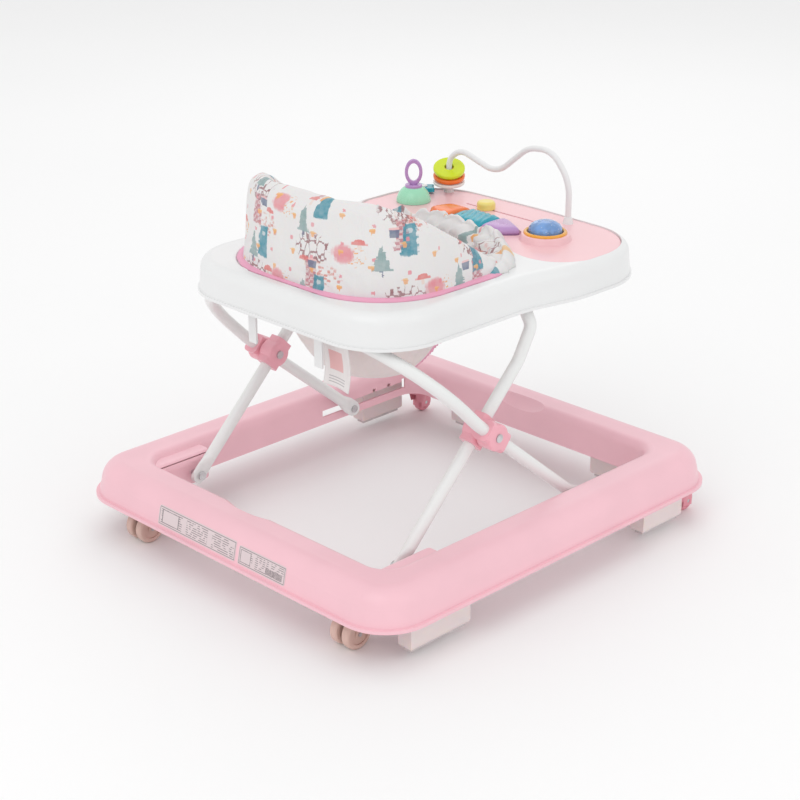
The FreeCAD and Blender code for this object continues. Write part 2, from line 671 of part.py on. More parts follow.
def panel_outline():
    """Toy panel: follows the tray's front and bows in where the seat opening comes closest."""
    return bowed_outline([(0, 131), (150, 91), (216, 106), (216, 281), (0, 290)],
                         [260, 70, 58, 100, 900])


def build_tray_shell():
    """White tray: drafted skirt with a lip, rounded rim, recess for the toys and seat opening."""
    low, top, wall = size.tray_floor, size.tray_top, size.tray_wall
    outline = tray_outline()
    outside = Part.makeLoft([lifted(outline, low), lifted(grown(outline, -4), top)], True, True)
    outside = outside.makeFillet(16, edges_at(outside, top))
    lip = slab(grown(outline, 1.8), low, low + 4)
    hole = slab(hole_outline(), low - 1, top + 1)
    recess = slab(panel_outline(), top - size.recess_depth, top + 1)
    under = top - size.recess_depth - wall
    cavity = Part.makeLoft([lifted(grown(outline, -wall), low - 1),
                            lifted(grown(outline, -wall - 3), under)], True, True)
    cavity = cavity.makeFillet(4, edges_at(cavity, under))
    collar_low = size.bar_z + size.tube_outer / 2 + 4
    cavity = cavity.cut(slab(grown(hole_outline(), wall), collar_low, top))
    shell = outside.fuse(lip).cut(hole).cut(recess).cut(cavity)
    ring = shell.makeFillet(4, [edge for edge in edges_at(shell, top)
                                if edge.BoundBox.Center.y < 90 and inside_hole(edge)])
    return keep(shape_part("tray_shell", ring), "tray_shell")


def inside_hole(edge):
    middle = edge.valueAt((edge.FirstParameter + edge.LastParameter) / 2)
    return abs(middle.x) < size.hole_half + 1 and -216 < middle.y < 126


def build_tray_underside():
    """What is fixed under the tray: leg guides, cross bar saddles and the toys' electronics."""
    low, top = size.tray_floor, size.tray_top
    under = top - size.recess_depth - size.tray_wall
    guides = [box(f"guide_{side}", "2", "128", f"{under} - 378", (left, "62", "378"))
              for side, left in (("right", "top_x - 13.2"), ("left", "-top_x + 11.2"))]
    keep(group("leg_guides", *guides), "leg_guides")
    saddles, straps, screws = [], [], []
    for side, sign in (("right", 1), ("left", -1)):
        middle = sign * size.saddle_x
        block = box(f"saddle_block_{side}", "26", "16.5", f"{under} - bar_z - 1",
                    (f"{middle} - 13", "bar_y - 11", "bar_z + 1"))
        strap = box(f"saddle_strap_{side}", "22", "27", "14",
                    (f"{middle} - 11", "bar_y - 13.5", "bar_z - 13.5"))
        groove = rod(f"saddle_groove_{side}", "tube_outer / 2 + 0.08", "60",
                     (f"{middle} - 30", "bar_y", "bar_z"), ALONG_X)
        saddles.append(cut(f"saddle_{side}", block, groove))
        straps.append(cut(f"strap_{side}", strap, groove))
        screws.append(rod(f"saddle_screw_{side}", "3", "2.5",
                          (f"{middle}", "bar_y + 13.5", "bar_z - 16")))
    keep(group("bar_saddles", *saddles), "bar_saddles")
    keep(group("saddle_straps", *straps), "saddle_straps")
    keep(group("saddle_screws", *screws), "saddle_screws")
    outside = box("electronics_outside", "110", "74", "26", ("30", "160", f"{under} - 26"))
    inside = box("electronics_inside", "104", "68", "20", ("33", "163", f"{under} - 23"))
    mouth = box("electronics_mouth", "60", "40", "8", ("55", "177", f"{under} - 30"))
    case = cut("electronics_case", rounded_block("electronics_case", outside, 4,
               lambda edge: edge.BoundBox.ZMax < under - 1), inside, mouth)
    keep(case, "electronics_case")
    keep(box("battery_door_plate", "59.4", "39.4", "2.6", ("55.3", "177.3", f"{under} - 25.6")),
         "battery_door")
    keep(box("circuit_board_plate", "96", "60", "1.6", ("37", "167", f"{under} - 6")), "circuit_board")
    cells = [rod(f"cell_{count}", "7", "50", ("60", f"188 + {count} * 15", f"{under} - 15.5"), ALONG_X)
             for count in range(2)]
    keep(group("batteries", *cells), "batteries")
    tabs = [box(f"tab_{side}", "15", "3", "bar_z - 13.5 - tab_low", (left, "bar_y + 2", "tab_low"))
            for side, left in (("right", "saddle_x - 7.5"), ("left", "-saddle_x - 7.5"))]
    keep(group("seat_tabs", *tabs), "seat_tabs")
    keep(box("hanging_tag_sheet", "56", "0.8", "112", ("50", "-201", "tray_floor - 84")), "hanging_tag")


# ---------------------------------------------------------------- toys

TOY_FLOOR = size.tray_top - size.recess_depth + size.panel_thick

BAR_POINTS = [(-161, 0), (-161, 52), (-137, 71), (-62, 48), (0, 99), (46, 103), (80, 62), (80, 0)]
BAR_RADII = [0, 24, 30, 46, 52, 42, 60, 0]
BAR_PLANE = 265
DOME_AT = (-163, 189)
KNOB_LINE = 236
KEY_PLACES = (("orange", -117, -58), ("teal", -57, 9), ("purple", 10, 72))
DISC_PLACES = (("white", 15.5, 4.8, 6), ("orange", 25, 6.4, 14), ("lime", 36.5, 7.2, 24))


def build_toy_panel():
    """Pink inset plate with the openings and the raised boss that the toys sit in."""
    floor = TOY_FLOOR - size.panel_thick
    plate = slab(grown(panel_outline(), -0.4), floor, TOY_FLOOR)
    plate = plate.makeFillet(2, edges_at(plate, TOY_FLOOR))
    boss = Part.makeCone(38, 34, 9, Vector(106, 184, TOY_FLOOR))
    boss = boss.makeFillet(2.5, edges_at(boss, TOY_FLOOR + 9))
    plate = plate.fuse(boss)
    well = Part.makeCylinder(25.5, 40, Vector(106, 184, floor + 2))
    keys = slab(key_row_outline(1.0), floor + 1.5, TOY_FLOOR + 1)
    slot = Part.makeBox(146, 4, 20, Vector(-96, KNOB_LINE - 2, floor - 1))
    hub = Part.makeCylinder(4.06, 20, Vector(*DOME_AT, floor - 1))
    return keep(shape_part("toy_panel", plate.cut(well).cut(keys).cut(slot).cut(hub)), "toy_panel")


def key_row_outline(clearance):
    """The three keys' common outline: a long leaf, blunt at one end."""
    row = rounded_path([(-118, 166, 0), (-102, 219, 0), (20, 207, 0), (74, 176, 0), (50, 150, 0),
                        (-40, 149, 0)], [22, 20, 60, 12, 24, 60], closed=True)
    return grown(row, clearance) if clearance else row


def build_keys():
    floor = TOY_FLOOR - size.panel_thick + 4
    for name, left, right in KEY_PLACES:
        strip = Part.makeBox(right - left, 120, 40, Vector(left, 130, floor))
        key = slab(key_row_outline(0), floor, TOY_FLOOR + 6).common(strip)
        key = key.makeFillet(1.2, edges_at(key, TOY_FLOOR + 6))
        keep(shape_part(f"key_{name}", key), f"key_{name}")


def tilted_ring(centre, inner, outer, thick, tilt):
    ring = Part.makeCylinder(outer, thick, Vector(0, 0, -thick / 2))
    ring = ring.makeFillet(thick * 0.36, [edge for edge in ring.Edges if edge.BoundBox.ZLength < 1e-3])
    ring = ring.cut(Part.makeCylinder(inner, thick + 2, Vector(0, 0, -thick / 2 - 1)))
    ring.Placement = Placement(Vector(*centre), Rotation(Vector(1, 1, 0), tilt))
    return ring


def build_bead_bar():
    points = [(x, BAR_PLANE, TOY_FLOOR + rise) for x, rise in BAR_POINTS]
    bar = bar_along(rounded_path(points, BAR_RADII), 4.5)
    keep(shape_part("bead_bar", bar), "bead_bar")
    feet = []
    for x in (BAR_POINTS[0][0], BAR_POINTS[-1][0]):
        foot = Part.makeCone(8, 5.6, 9, Vector(x, BAR_PLANE, TOY_FLOOR))
        feet.append(foot.cut(Part.makeCylinder(4.5, 12, Vector(x, BAR_PLANE, TOY_FLOOR - 1))))
    keep(shape_part("bar_feet", Part.makeCompound(feet)), "bar_feet")
    for name, rise, thick, tilt in DISC_PLACES:
        centre = (BAR_POINTS[0][0], BAR_PLANE, TOY_FLOOR + rise)
        keep(shape_part(f"disc_{name}", tilted_ring(centre, 7.5, 24.5, thick, tilt)), f"disc_{name}")


def build_star():
    """Five-armed soft star on a post beside the bar's foot."""
    centre = Vector(-186, 234, TOY_FLOOR + 3.6)
    points, radii = [], []
    for count in range(10):
        reach = 23 if count % 2 == 0 else 13
        angle = math.radians(36 * count + 10)
        points.append((centre.x + reach * math.cos(angle), centre.y + reach * math.sin(angle), 0))
        radii.append(3.2 if count % 2 == 0 else 5)
    star = slab(rounded_path(points, radii, closed=True), centre.z, centre.z + 6)
    star = star.makeFillet(1.5, edges_at(star, centre.z + 6))
    post = Part.makeCylinder(3, 10, Vector(centre.x, centre.y, TOY_FLOOR))
    cap = Part.makeCylinder(6, 1.6, Vector(centre.x, centre.y, TOY_FLOOR + 9.8)).fuse(post)
    keep(shape_part("star_spinner", star.cut(Part.makeCylinder(3.1, 30, centre - Vector(0, 0, 5)))),
         "star_spinner")
    keep(shape_part("star_post", cap), "star_post")


def build_dome_and_ring():
    """Mint dome that turns on the panel, with a leaf-shaped ring standing on its purple disc."""
    x, y = DOME_AT
    base = TOY_FLOOR + 0.4
    ball = Part.makeSphere(26).common(Part.makeBox(60, 60, 22, Vector(-30, -30, 0)))
    ball.translate(Vector(x, y, base))
    drum = Part.makeCylinder(26, 4, Vector(x, y, base))
    hub = Part.makeCylinder(4, 6, Vector(x, y, base - 5.6))
    dome = ball.fuse(drum).common(Part.makeCylinder(26, 23, Vector(x, y, base))).fuse(hub)
    keep(shape_part("mint_dome", dome), "mint_dome")
    disc = Part.makeCylinder(13, 4, Vector(x, y, base + 22))
    disc = disc.makeFillet(1.5, edges_at(disc, base + 26))
    middle = base + 26 + 19
    turn = Rotation(Vector(0, 0, 1), 45)
    outer = Part.Ellipse(Vector(0, 0, 0), 20, 13.5)
    inner = Part.Ellipse(Vector(0, 0, 0), 14, 8.5)
    slabs = [Part.Face(Part.Wire(curve.toShape())).extrude(Vector(0, 0, 6)) for curve in (outer, inner)]
    rims = [edge for edge in slabs[0].Edges if edge.BoundBox.ZLength < 1e-3]
    loop = slabs[0].makeFillet(2.2, rims).cut(slabs[1])
    loop.translate(Vector(0, 0, -3))
    upright = Placement(Vector(x, y, middle), turn.multiply(Rotation(Vector(1, 0, 0), 90)).multiply(
        Rotation(Vector(0, 0, 1), 90)))
    loop.Placement = upright.multiply(loop.Placement)
    keep(shape_part("ring_toy", disc.fuse(loop)), "ring_toy")


def build_small_toys():
    knob = Part.makeCylinder(14, 12, Vector(-56, KNOB_LINE, TOY_FLOOR + 0.4))
    knob = knob.makeFillet(5, edges_at(knob, TOY_FLOOR + 12.4))
    tongue = Part.makeBox(12, 3.4, 8, Vector(-62, KNOB_LINE - 1.7, TOY_FLOOR - size.panel_thick + 0.6))
    keep(shape_part("slider_knob", knob.fuse(tongue)), "slider_knob")
    centre = Vector(106, 184, TOY_FLOOR + 9)
    ring = Part.makeTorus(28.5, 2.8, centre + Vector(0, 0, 1))
    ring = ring.common(Part.makeBox(80, 80, 10, centre - Vector(40, 40, 0)))
    keep(shape_part("light_ring", ring), "light_ring")
    cap = Part.makeSphere(31, Vector(0, 0, 0)).common(Part.makeBox(70, 70, 20, Vector(-35, -35, 12)))
    cap.translate(centre - Vector(0, 0, 12.5 - 0.5))
    cap = cap.common(Part.makeCylinder(24.8, 60, centre - Vector(0, 0, 20)))
    drum = Part.makeCylinder(24.8, 8, centre - Vector(0, 0, 7.5))
    keep(shape_part("light_dome", cap.fuse(drum).removeSplitter()), "light_dome")


# ---------------------------------------------------------------- seat

def back_face(inset, front):
    """Filled outline of the seat back in plan: two sides and a round rear, shut at the front."""
    side, rear, corner = 165 - inset, inset - 204, 104 - inset
    path = rounded_path([(side, front, 0), (side - 4, rear, 0), (4 - side, rear, 0),
                         (-side, front, 0)], [0, corner, corner, 0])
    shut = Part.makeLine((-side, front, 0), (side, front, 0))
    return Part.Wire(Part.__sortEdges__(path.Edges + [shut]))


def build_seat_back():
    """Plain solid for the padded back: a wall round the rear whose top slopes down at the sides."""
    low, top = size.tray_top - 12, size.back_top
    wall = slab(back_face(0, 60), low, top)
    wall = wall.cut(slab(back_face(size.back_thick, 90), low - 1, top + 1))
    slope = [(-300, top - 4), (-168, top - 4), (15, low + 38), (15, low), (90, low), (90, 700),
             (-300, 700), (-300, top - 4)]
    waste = Part.Face(Part.Wire(Part.makePolygon([Vector(-300, y, z) for y, z in slope])))
    keep(shape_part("seat_back", wall.cut(waste.extrude(Vector(600, 0, 0)))), "seat_back")


def build_sling():
    """Hanging seat: a round bowl of cloth with two leg openings."""
    rim, reach, thick = size.tray_top - 12.5, 138, 5
    depth = rim - size.sling_floor

    def bowl(radius, drop):
        """Half ellipsoid below the rim, turned from a filled quarter ellipse."""
        centre, end, low = Vector(0, 0, rim), Vector(radius, 0, rim), Vector(0, 0, rim - drop)
        tips = (end, low) if radius > drop else (low, end)
        curve = Part.Ellipse(tips[0], tips[1], centre)
        first, last = curve.parameter(low), curve.parameter(end)
        span = (last - first) % (2 * math.pi)
        if span > math.pi:
            first, span = last, 2 * math.pi - span
        arc = curve.toShape(first, first + span)
        outline = [arc, Part.makeLine(centre, low), Part.makeLine(end, centre)]
        face = Part.Face(Part.Wire(Part.__sortEdges__(outline)))
        return face.revolve(centre, Vector(0, 0, 1), 360)

    skin = bowl(reach, depth).cut(bowl(reach - thick, depth - thick))
    skin.translate(Vector(0, -56, 0))
    for sign in (1, -1):
        opening = Part.makeCylinder(46, 400, Vector(sign * 66, 4, 100), Vector(sign * 0.12, 0.14, 1))
        skin = skin.cut(opening)
    keep(shape_part("seat_sling", skin), "seat_sling")


def build_piping():
    path = grown(hole_outline(), -5.5)
    path = lifted(path, size.tray_top + 1)
    start = path.OrderedVertexes[0].Point
    along = path.OrderedEdges[0].tangentAt(path.OrderedEdges[0].FirstParameter)
    ring = Part.Wire(Part.makeCircle(3.5, start, along))
    keep(shape_part("seat_piping", path.makePipeShell([ring], True, False)), "seat_piping")


def check_and_write():
    """Stop on a failed object or a bad shape, then write one STEP file for each sub-part."""
    doc.recompute()
    failed = [item.Label for item in doc.Objects
              if "Invalid" in item.State or "Error" in item.State]
    if failed:
        raise RuntimeError(f"objects failed to compute: {failed}")
    for item in PARTS:
        shape = item.Shape
        if shape.isNull() or not shape.isValid() or shape.Volume <= 0:
            raise RuntimeError(f"{item.Label} has no valid solid")
    os.makedirs("parts", exist_ok=True)
    for item in PARTS:
        item.Shape.exportStep(f"parts/{item.Label}.step")


def main():
    build_base_frame()
    build_rear_pivots()
    build_stoppers()
    sticker("rating_sticker", -137, 28, 64.5, 92)
    sticker("stock_sticker", 34, 128, 64.5, 90)
    build_rear_wheels()
    build_front_casters()
    build_rear_legs()
    build_front_leg()
    build_tray_shell()
    build_tray_underside()
    build_toy_panel()
    build_keys()
    build_bead_bar()
    build_star()
    build_dome_and_ring()
    build_small_toys()
    build_seat_back()
    build_sling()
    build_piping()
    check_and_write()


main()
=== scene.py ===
"""Baby walker: materials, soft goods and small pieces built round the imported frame.

Metres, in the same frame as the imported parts: origin on the floor under the middle of the base,
+Z up, +Y towards the toys, +X to the child's right.
"""

import logging
import math
from contextlib import contextmanager
from dataclasses import dataclass, field
from enum import Enum
from typing import Iterable, Iterator, Optional, Sequence, Union

import bmesh
import bpy
import numpy as np
from bpy.types import ID, Material, Mesh, Node, NodeSocket, Object
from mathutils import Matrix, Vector


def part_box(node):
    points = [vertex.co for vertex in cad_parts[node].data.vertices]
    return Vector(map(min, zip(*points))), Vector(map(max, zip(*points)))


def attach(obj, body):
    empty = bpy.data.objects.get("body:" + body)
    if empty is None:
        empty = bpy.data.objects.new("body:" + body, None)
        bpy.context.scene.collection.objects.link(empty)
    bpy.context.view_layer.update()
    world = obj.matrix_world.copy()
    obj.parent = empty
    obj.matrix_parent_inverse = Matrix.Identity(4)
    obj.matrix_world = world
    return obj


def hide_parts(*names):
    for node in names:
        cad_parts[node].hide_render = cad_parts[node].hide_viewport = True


logging.basicConfig(level=logging.INFO, format="%(levelname)s %(message)s")
LOG = logging.getLogger("walker")

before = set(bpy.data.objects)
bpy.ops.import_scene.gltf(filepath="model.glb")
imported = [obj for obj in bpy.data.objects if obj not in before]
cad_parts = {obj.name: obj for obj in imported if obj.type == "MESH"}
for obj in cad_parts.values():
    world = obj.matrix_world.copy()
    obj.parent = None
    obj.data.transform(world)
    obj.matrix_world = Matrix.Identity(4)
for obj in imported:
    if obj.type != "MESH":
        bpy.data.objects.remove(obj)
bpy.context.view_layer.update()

Triple = tuple[float, float, float]
Colour = Triple
Pair = tuple[float, float]
Number = Union[float, "Sock"]
Array = np.ndarray

CLOTH_MAP = "cloth"  # the map that the woven finishes read, in metres
PATH_STEP = 0.004  # between points along the seat's edges
SIM_FRAMES = 20
PIPING_PINK = (0.86, 0.4, 0.56)


# ------------------------------------------------------------------ shader expressions

class Sock:
    """A value socket in a material, so that shader maths reads as Python expressions."""

    def __init__(self, shader: "Shader", socket: NodeSocket) -> None:
        """Keep the material's builder and the socket that holds the value."""
        self.shader, self.socket = shader, socket

    def math(self, operation: str, *others: Number) -> "Sock":
        """Add a Math node.

        Args:
            operation: the Math node's operation.
            others: the second and third values, as numbers or sockets.

        Returns:
            The node's result.
        """
        values = dict(enumerate((self, *others)))
        return self.shader.value("Math", {"operation": operation}, values)

    def __add__(self, other: Number) -> "Sock":
        """Sum."""
        return self.math("ADD", other)

    __radd__ = __add__

    def __sub__(self, other: Number) -> "Sock":
        """Difference."""
        return self.math("SUBTRACT", other)

    def __rsub__(self, other: float) -> "Sock":
        """A number less this value."""
        return (self * -1.0).math("ADD", other)

    def __mul__(self, other: Number) -> "Sock":
        """Product."""
        return self.math("MULTIPLY", other)

    __rmul__ = __mul__

    def __truediv__(self, other: Number) -> "Sock":
        """Quotient."""
        return self.math("DIVIDE", other)

    def __abs__(self) -> "Sock":
        """Size without its sign."""
        return self.math("ABSOLUTE")

    def step(self, low: float, high: float) -> "Sock":
        """Smooth step: 0 at low, 1 at high, and eased between; low may be above high."""
        return self.shader.value("MapRange", {"interpolation_type": "SMOOTHSTEP"},
                                 {0: self, 1: low, 2: high, 3: 0.0, 4: 1.0})

    def either(self, other: Number) -> "Sock":
        """The larger of two masks."""
        return self.math("MAXIMUM", other)

    def band(self, low: float, rise: float, fall: float, high: float) -> "Sock":
        """1 between rise and fall, and eased to 0 at low and high."""
        return self.step(low, rise) * self.step(high, fall)


class Shader:
    """Builds one node material on a Principled surface."""

    def __init__(self, name: str) -> None:
        """Start an empty material.

        Args:
            name: the material's name.
        """
        self.material = bpy.data.materials.new(name)
        self.material.use_nodes = True
        self.tree = self.material.node_tree
        self.tree.nodes.clear()

    def node(self, kind: str, settings: Optional[dict] = None,
             values: Optional[dict] = None) -> Node:
        """Make a node.

        Args:
            kind: the node's type after "ShaderNode".
            settings: attributes, set before the sockets.
            values: socket index or name to a number, tuple, Sock or socket.

        Returns:
            The new node.
        """
        made = self.tree.nodes.new("ShaderNode" + kind)
        for key, setting in (settings or {}).items():
            setattr(made, key, setting)
        for key, value in (values or {}).items():
            target = made.inputs[key]
            if isinstance(value, Sock):
                self.tree.links.new(value.socket, target)
            elif isinstance(value, NodeSocket):
                self.tree.links.new(value, target)
            elif isinstance(value, tuple) and len(value) == 3 and len(target.default_value) == 4:
                target.default_value = (*value, 1.0)
            else:
                target.default_value = value
        return made

    def value(self, kind: str, settings: Optional[dict] = None,
              values: Optional[dict] = None) -> Sock:
        """Make a node and return its first output as a Sock."""
        return Sock(self, self.node(kind, settings, values).outputs[0])

    def place(self, scale: Triple = (1, 1, 1)) -> NodeSocket:
        """Object coordinates, scaled."""
        coords = self.node("TexCoord").outputs["Object"]
        return self.node("Mapping", None, {"Vector": coords, "Scale": scale}).outputs[0]

    def cloth(self) -> NodeSocket:
        """The piece's cloth map."""
        return self.node("UVMap", {"uv_map": CLOTH_MAP}).outputs[0]

    def axes(self, vector: NodeSocket) -> tuple[Sock, Sock, Sock]:
        """A vector's three parts."""
        parts = self.node("SeparateXYZ", None, {0: vector})
        return tuple(Sock(self, out) for out in parts.outputs)

    def noise(self, vector: NodeSocket, scale: float, detail: float = 2.0,
              rough: float = 0.5) -> Sock:
        """Smooth noise, about 0 to 1."""
        return self.value("TexNoise", None, {"Vector": vector, "Scale": scale, "Detail": detail,
                                             "Roughness": rough})

    def mix(self, factor: Number, first: object, second: object) -> NodeSocket:
        """Mix two colours by a factor."""
        made = self.node("Mix", {"data_type": "RGBA"}, {0: factor, 6: first, 7: second})
        return made.outputs[2]

    def bump(self, height: Sock, distance: float, strength: float = 1.0,
             normal: Optional[NodeSocket] = None) -> NodeSocket:
        """A Bump node on a height of 0 to 1, of a depth in metres."""
        values = {"Height": height, "Distance": distance, "Strength": strength}
        if normal is not None:
            values["Normal"] = normal
        return self.node("Bump", None, values).outputs[0]

    def finish(self, **sockets: object) -> Material:
        """Add the Principled surface and the output.

        Args:
            sockets: Principled inputs, with underscores for spaces.

        Returns:
            The finished material.
        """
        values = {key.replace("_", " "): value for key, value in sockets.items()}
        surface = self.node("BsdfPrincipled", None, values)
        self.node("OutputMaterial", None, {0: surface.outputs[0]})
        return self.material


# ------------------------------------------------------------------ finishes

def shade(colour: Colour, factor: float) -> Colour:
    """A colour with each part multiplied and kept within 0 to 1."""
    return tuple(min(1.0, max(0.0, part * factor)) for part in colour)


@dataclass(frozen=True)
class Moulded:
    """Injection-moulded plastic: fine spark-eroded grain, faint flow clouds and a soft gloss."""
    name: str
    colour: Colour
    roughness: float = 0.38
    coat: float = 0.12
    grain: float = 0.00006
    grain_scale: float = 900.0
    clouds: float = 0.035
    translucent: float = 0.0

    def material(self) -> Material:
        """Build the material."""
        s = Shader(self.name)
        at = s.place()
        cloud = s.noise(at, 7.0, 3.0)
        streak = s.noise(s.place(scale=(1.0, 0.22, 1.0)), 60.0, 2.0)
        tone = s.mix(cloud.step(0.3, 0.7), shade(self.colour, 1 - self.clouds),
                     shade(self.colour, 1 + self.clouds))
        tone = s.mix(streak.step(0.55, 0.8) * 0.12, tone, shade(self.colour, 1.06))
        speck = s.noise(at, 420.0, 1.0)
        rough = speck * 0.05 + streak * 0.07 + (self.roughness - 0.06)
        grain = s.noise(at, self.grain_scale, 2.0)
        sink = s.noise(at, 26.0, 1.0)
        normal = s.bump(grain, self.grain, 0.8, s.bump(sink, 0.0004, 0.5))
        return s.finish(Base_Color=tone, Roughness=rough, Normal=normal,
                        Coat_Weight=self.coat, Coat_Roughness=0.12, IOR=1.49,
                        Subsurface_Weight=self.translucent, Subsurface_Scale=0.01)


@dataclass(frozen=True)
class PowderCoat:
    """Powder-coated steel tube: fine orange peel and tiny specks."""
    name: str
    colour: Colour

    def material(self) -> Material:
        """Build the material."""
        s = Shader(self.name)
        at = s.place()
        peel = s.noise(at, 520.0, 1.0)
        speck = s.noise(at, 1500.0, 0.0).step(0.74, 0.8)
        cloud = s.noise(at, 12.0, 2.0)
        tone = s.mix(cloud, shade(self.colour, 0.97), shade(self.colour, 1.03))
        tone = s.mix(speck * 0.25, tone, shade(self.colour, 0.72))
        return s.finish(Base_Color=tone, Roughness=peel * 0.1 + 0.27,
                        Normal=s.bump(peel, 0.00012, 0.7), Coat_Weight=0.25,
                        Coat_Roughness=0.15)


@dataclass(frozen=True)
class Steel:
    """Plated steel: turned or brushed marks along one axis and dull patches."""
    name: str
    colour: Colour = (0.66, 0.66, 0.67)
    along: Triple = (60.0, 900.0, 900.0)

    def material(self) -> Material:
        """Build the material."""
        s = Shader(self.name)
        marks = s.noise(s.place(scale=self.along), 1.0, 2.0)
        dull = s.noise(s.place(), 120.0, 3.0)
        tone = s.mix(dull.step(0.35, 0.75), self.colour, shade(self.colour, 0.78))
        return s.finish(Base_Color=tone, Metallic=1.0, Roughness=marks * 0.16 + dull * 0.14 + 0.16,
                        Normal=s.bump(marks, 0.00003, 0.8))


@dataclass(frozen=True)
class Rubber:
    """Soft grip rubber: matt, scuffed, with a pebbled face."""
    name: str
    colour: Colour

    def material(self) -> Material:
        """Build the material."""
        s = Shader(self.name)
        at = s.place()
        pebble = s.value("TexVoronoi", {"feature": "SMOOTH_F1"}, {"Vector": at, "Scale": 700.0})
        scuff = s.noise(at, 40.0, 4.0)
        tone = s.mix(scuff.step(0.45, 0.75) * 0.5, self.colour, shade(self.colour, 1.4))
        return s.finish(Base_Color=tone, Roughness=scuff * 0.2 + 0.66,
                        Normal=s.bump(pebble, 0.00012, 0.6))


@dataclass(frozen=True)
class Film:
    """A printed adhesive film: pale ground, thin border, rows of plain bars and a code patch."""
    name: str
    ground: Colour
    ink: Colour
    low: Pair
    high: Pair
    bars: bool = False

    def material(self) -> Material:
        """Build the material; the pattern is laid out in the face's own width and height."""
        s = Shader(self.name)
        x, _, z = s.axes(s.place())
        wide, tall = self.high[0] - self.low[0], self.high[1] - self.low[1]
        u, v = (x - self.low[0]) / wide, (z - self.low[1]) / tall
        edge = u.math("MINIMUM", 1.0 - u) * wide
        edge = edge.math("MINIMUM", v.math("MINIMUM", 1.0 - v) * tall)
        border = edge.band(0.0012, 0.0016, 0.0022, 0.0026)
        row = (v * 9.0).math("FRACT")
        blank = s.noise(s.place(scale=(1.0, 1.0, 1.0 / tall * 0.02)), 190.0, 0.0)
        lines = row.band(0.3, 0.38, 0.64, 0.72) * blank.step(0.42, 0.47)
        third = (u * 3.0).math("FRACT")
        column = third.band(0.08, 0.1, 0.9, 0.94)
        inside = edge.step(0.0034, 0.004)
        ink = lines * column * inside * 0.75
        patch = u.band(0.04, 0.05, 0.26, 0.27) * v.band(0.14, 0.18, 0.82, 0.86)
        frame_line = (abs(u - 0.155) * 8.7).either(abs(v - 0.5) * 2.8)
        frame_line = frame_line.band(0.86, 0.88, 0.97, 0.99)
        ink = ink * (1.0 - patch) + frame_line * patch * 0.8
        if self.bars:
            stripes = (u * 95.0 + s.noise(s.place(scale=(1, 1, 0)), 900.0, 0.0)).math("FRACT")
            code = u.band(0.58, 0.59, 0.93, 0.94) * v.band(0.14, 0.18, 0.48, 0.52)
            ink = ink * (1.0 - code) + stripes.step(0.45, 0.5) * code
        ink = ink.either(border * 0.7)
        film = s.noise(s.place(), 90.0, 2.0)
        tone = s.mix(film, self.ground, shade(self.ground, 0.96))
        tone = s.mix(ink, tone, self.ink)
        return s.finish(Base_Color=tone, Roughness=film * 0.15 + 0.32,
                        Normal=s.bump(film, 0.0001, 0.4))


@dataclass(frozen=True)
class Webbing:
    """Woven binding: crossed threads and a slight fuzz, read from the piece's cloth map."""
    name: str
    colour: Colour
    pitch: float = 0.0009
    sheen: float = 0.25

    def weave(self, s: Shader) -> Sock:
        """Height of a plain weave: the product of two thread waves."""
        u, v, _ = s.axes(s.cloth())
        turn = math.tau / self.pitch
        warp = (u * turn).math("SINE")
        weft = (v * turn).math("SINE")
        return warp * weft * 0.5 + 0.5

    def material(self) -> Material:
        """Build the material."""
        s = Shader(self.name)
        threads = self.weave(s)
        at = s.place()
        fuzz = s.noise(at, 300.0, 3.0)
        fade = s.noise(at, 14.0, 3.0)
        tone = s.mix(fade, shade(self.colour, 0.93), shade(self.colour, 1.06))
        tone = s.mix(threads * 0.3, tone, shade(self.colour, 0.86))
        return s.finish(Base_Color=tone, Roughness=fuzz * 0.15 + 0.72,
                        Normal=s.bump(threads, 0.00018, 0.5, s.bump(fuzz, 0.0005, 0.4)),
                        Sheen_Weight=self.sheen, Sheen_Roughness=0.45)


class Motif(Enum):
    """The plain garden shapes that the seat's cloth is printed with."""
    TALL_TREE = "tall tree"
    ROUND_BUSH = "round bush"
    PINE = "pine"
    BARE_TREE = "bare tree"
    CONE = "cone"
    CAP = "cap"
    BERRY = "berry"
    POT = "pot"


@dataclass(frozen=True)
class Stamp:
    """One motif on a repeat: tile size, offset, shear between rows and size, in metres."""
    motif: Motif
    colour: Colour
    tile: Pair
    offset: Pair
    size: float
    drop: float = 0.5
    second: Colour = (0.5, 0.5, 0.5)


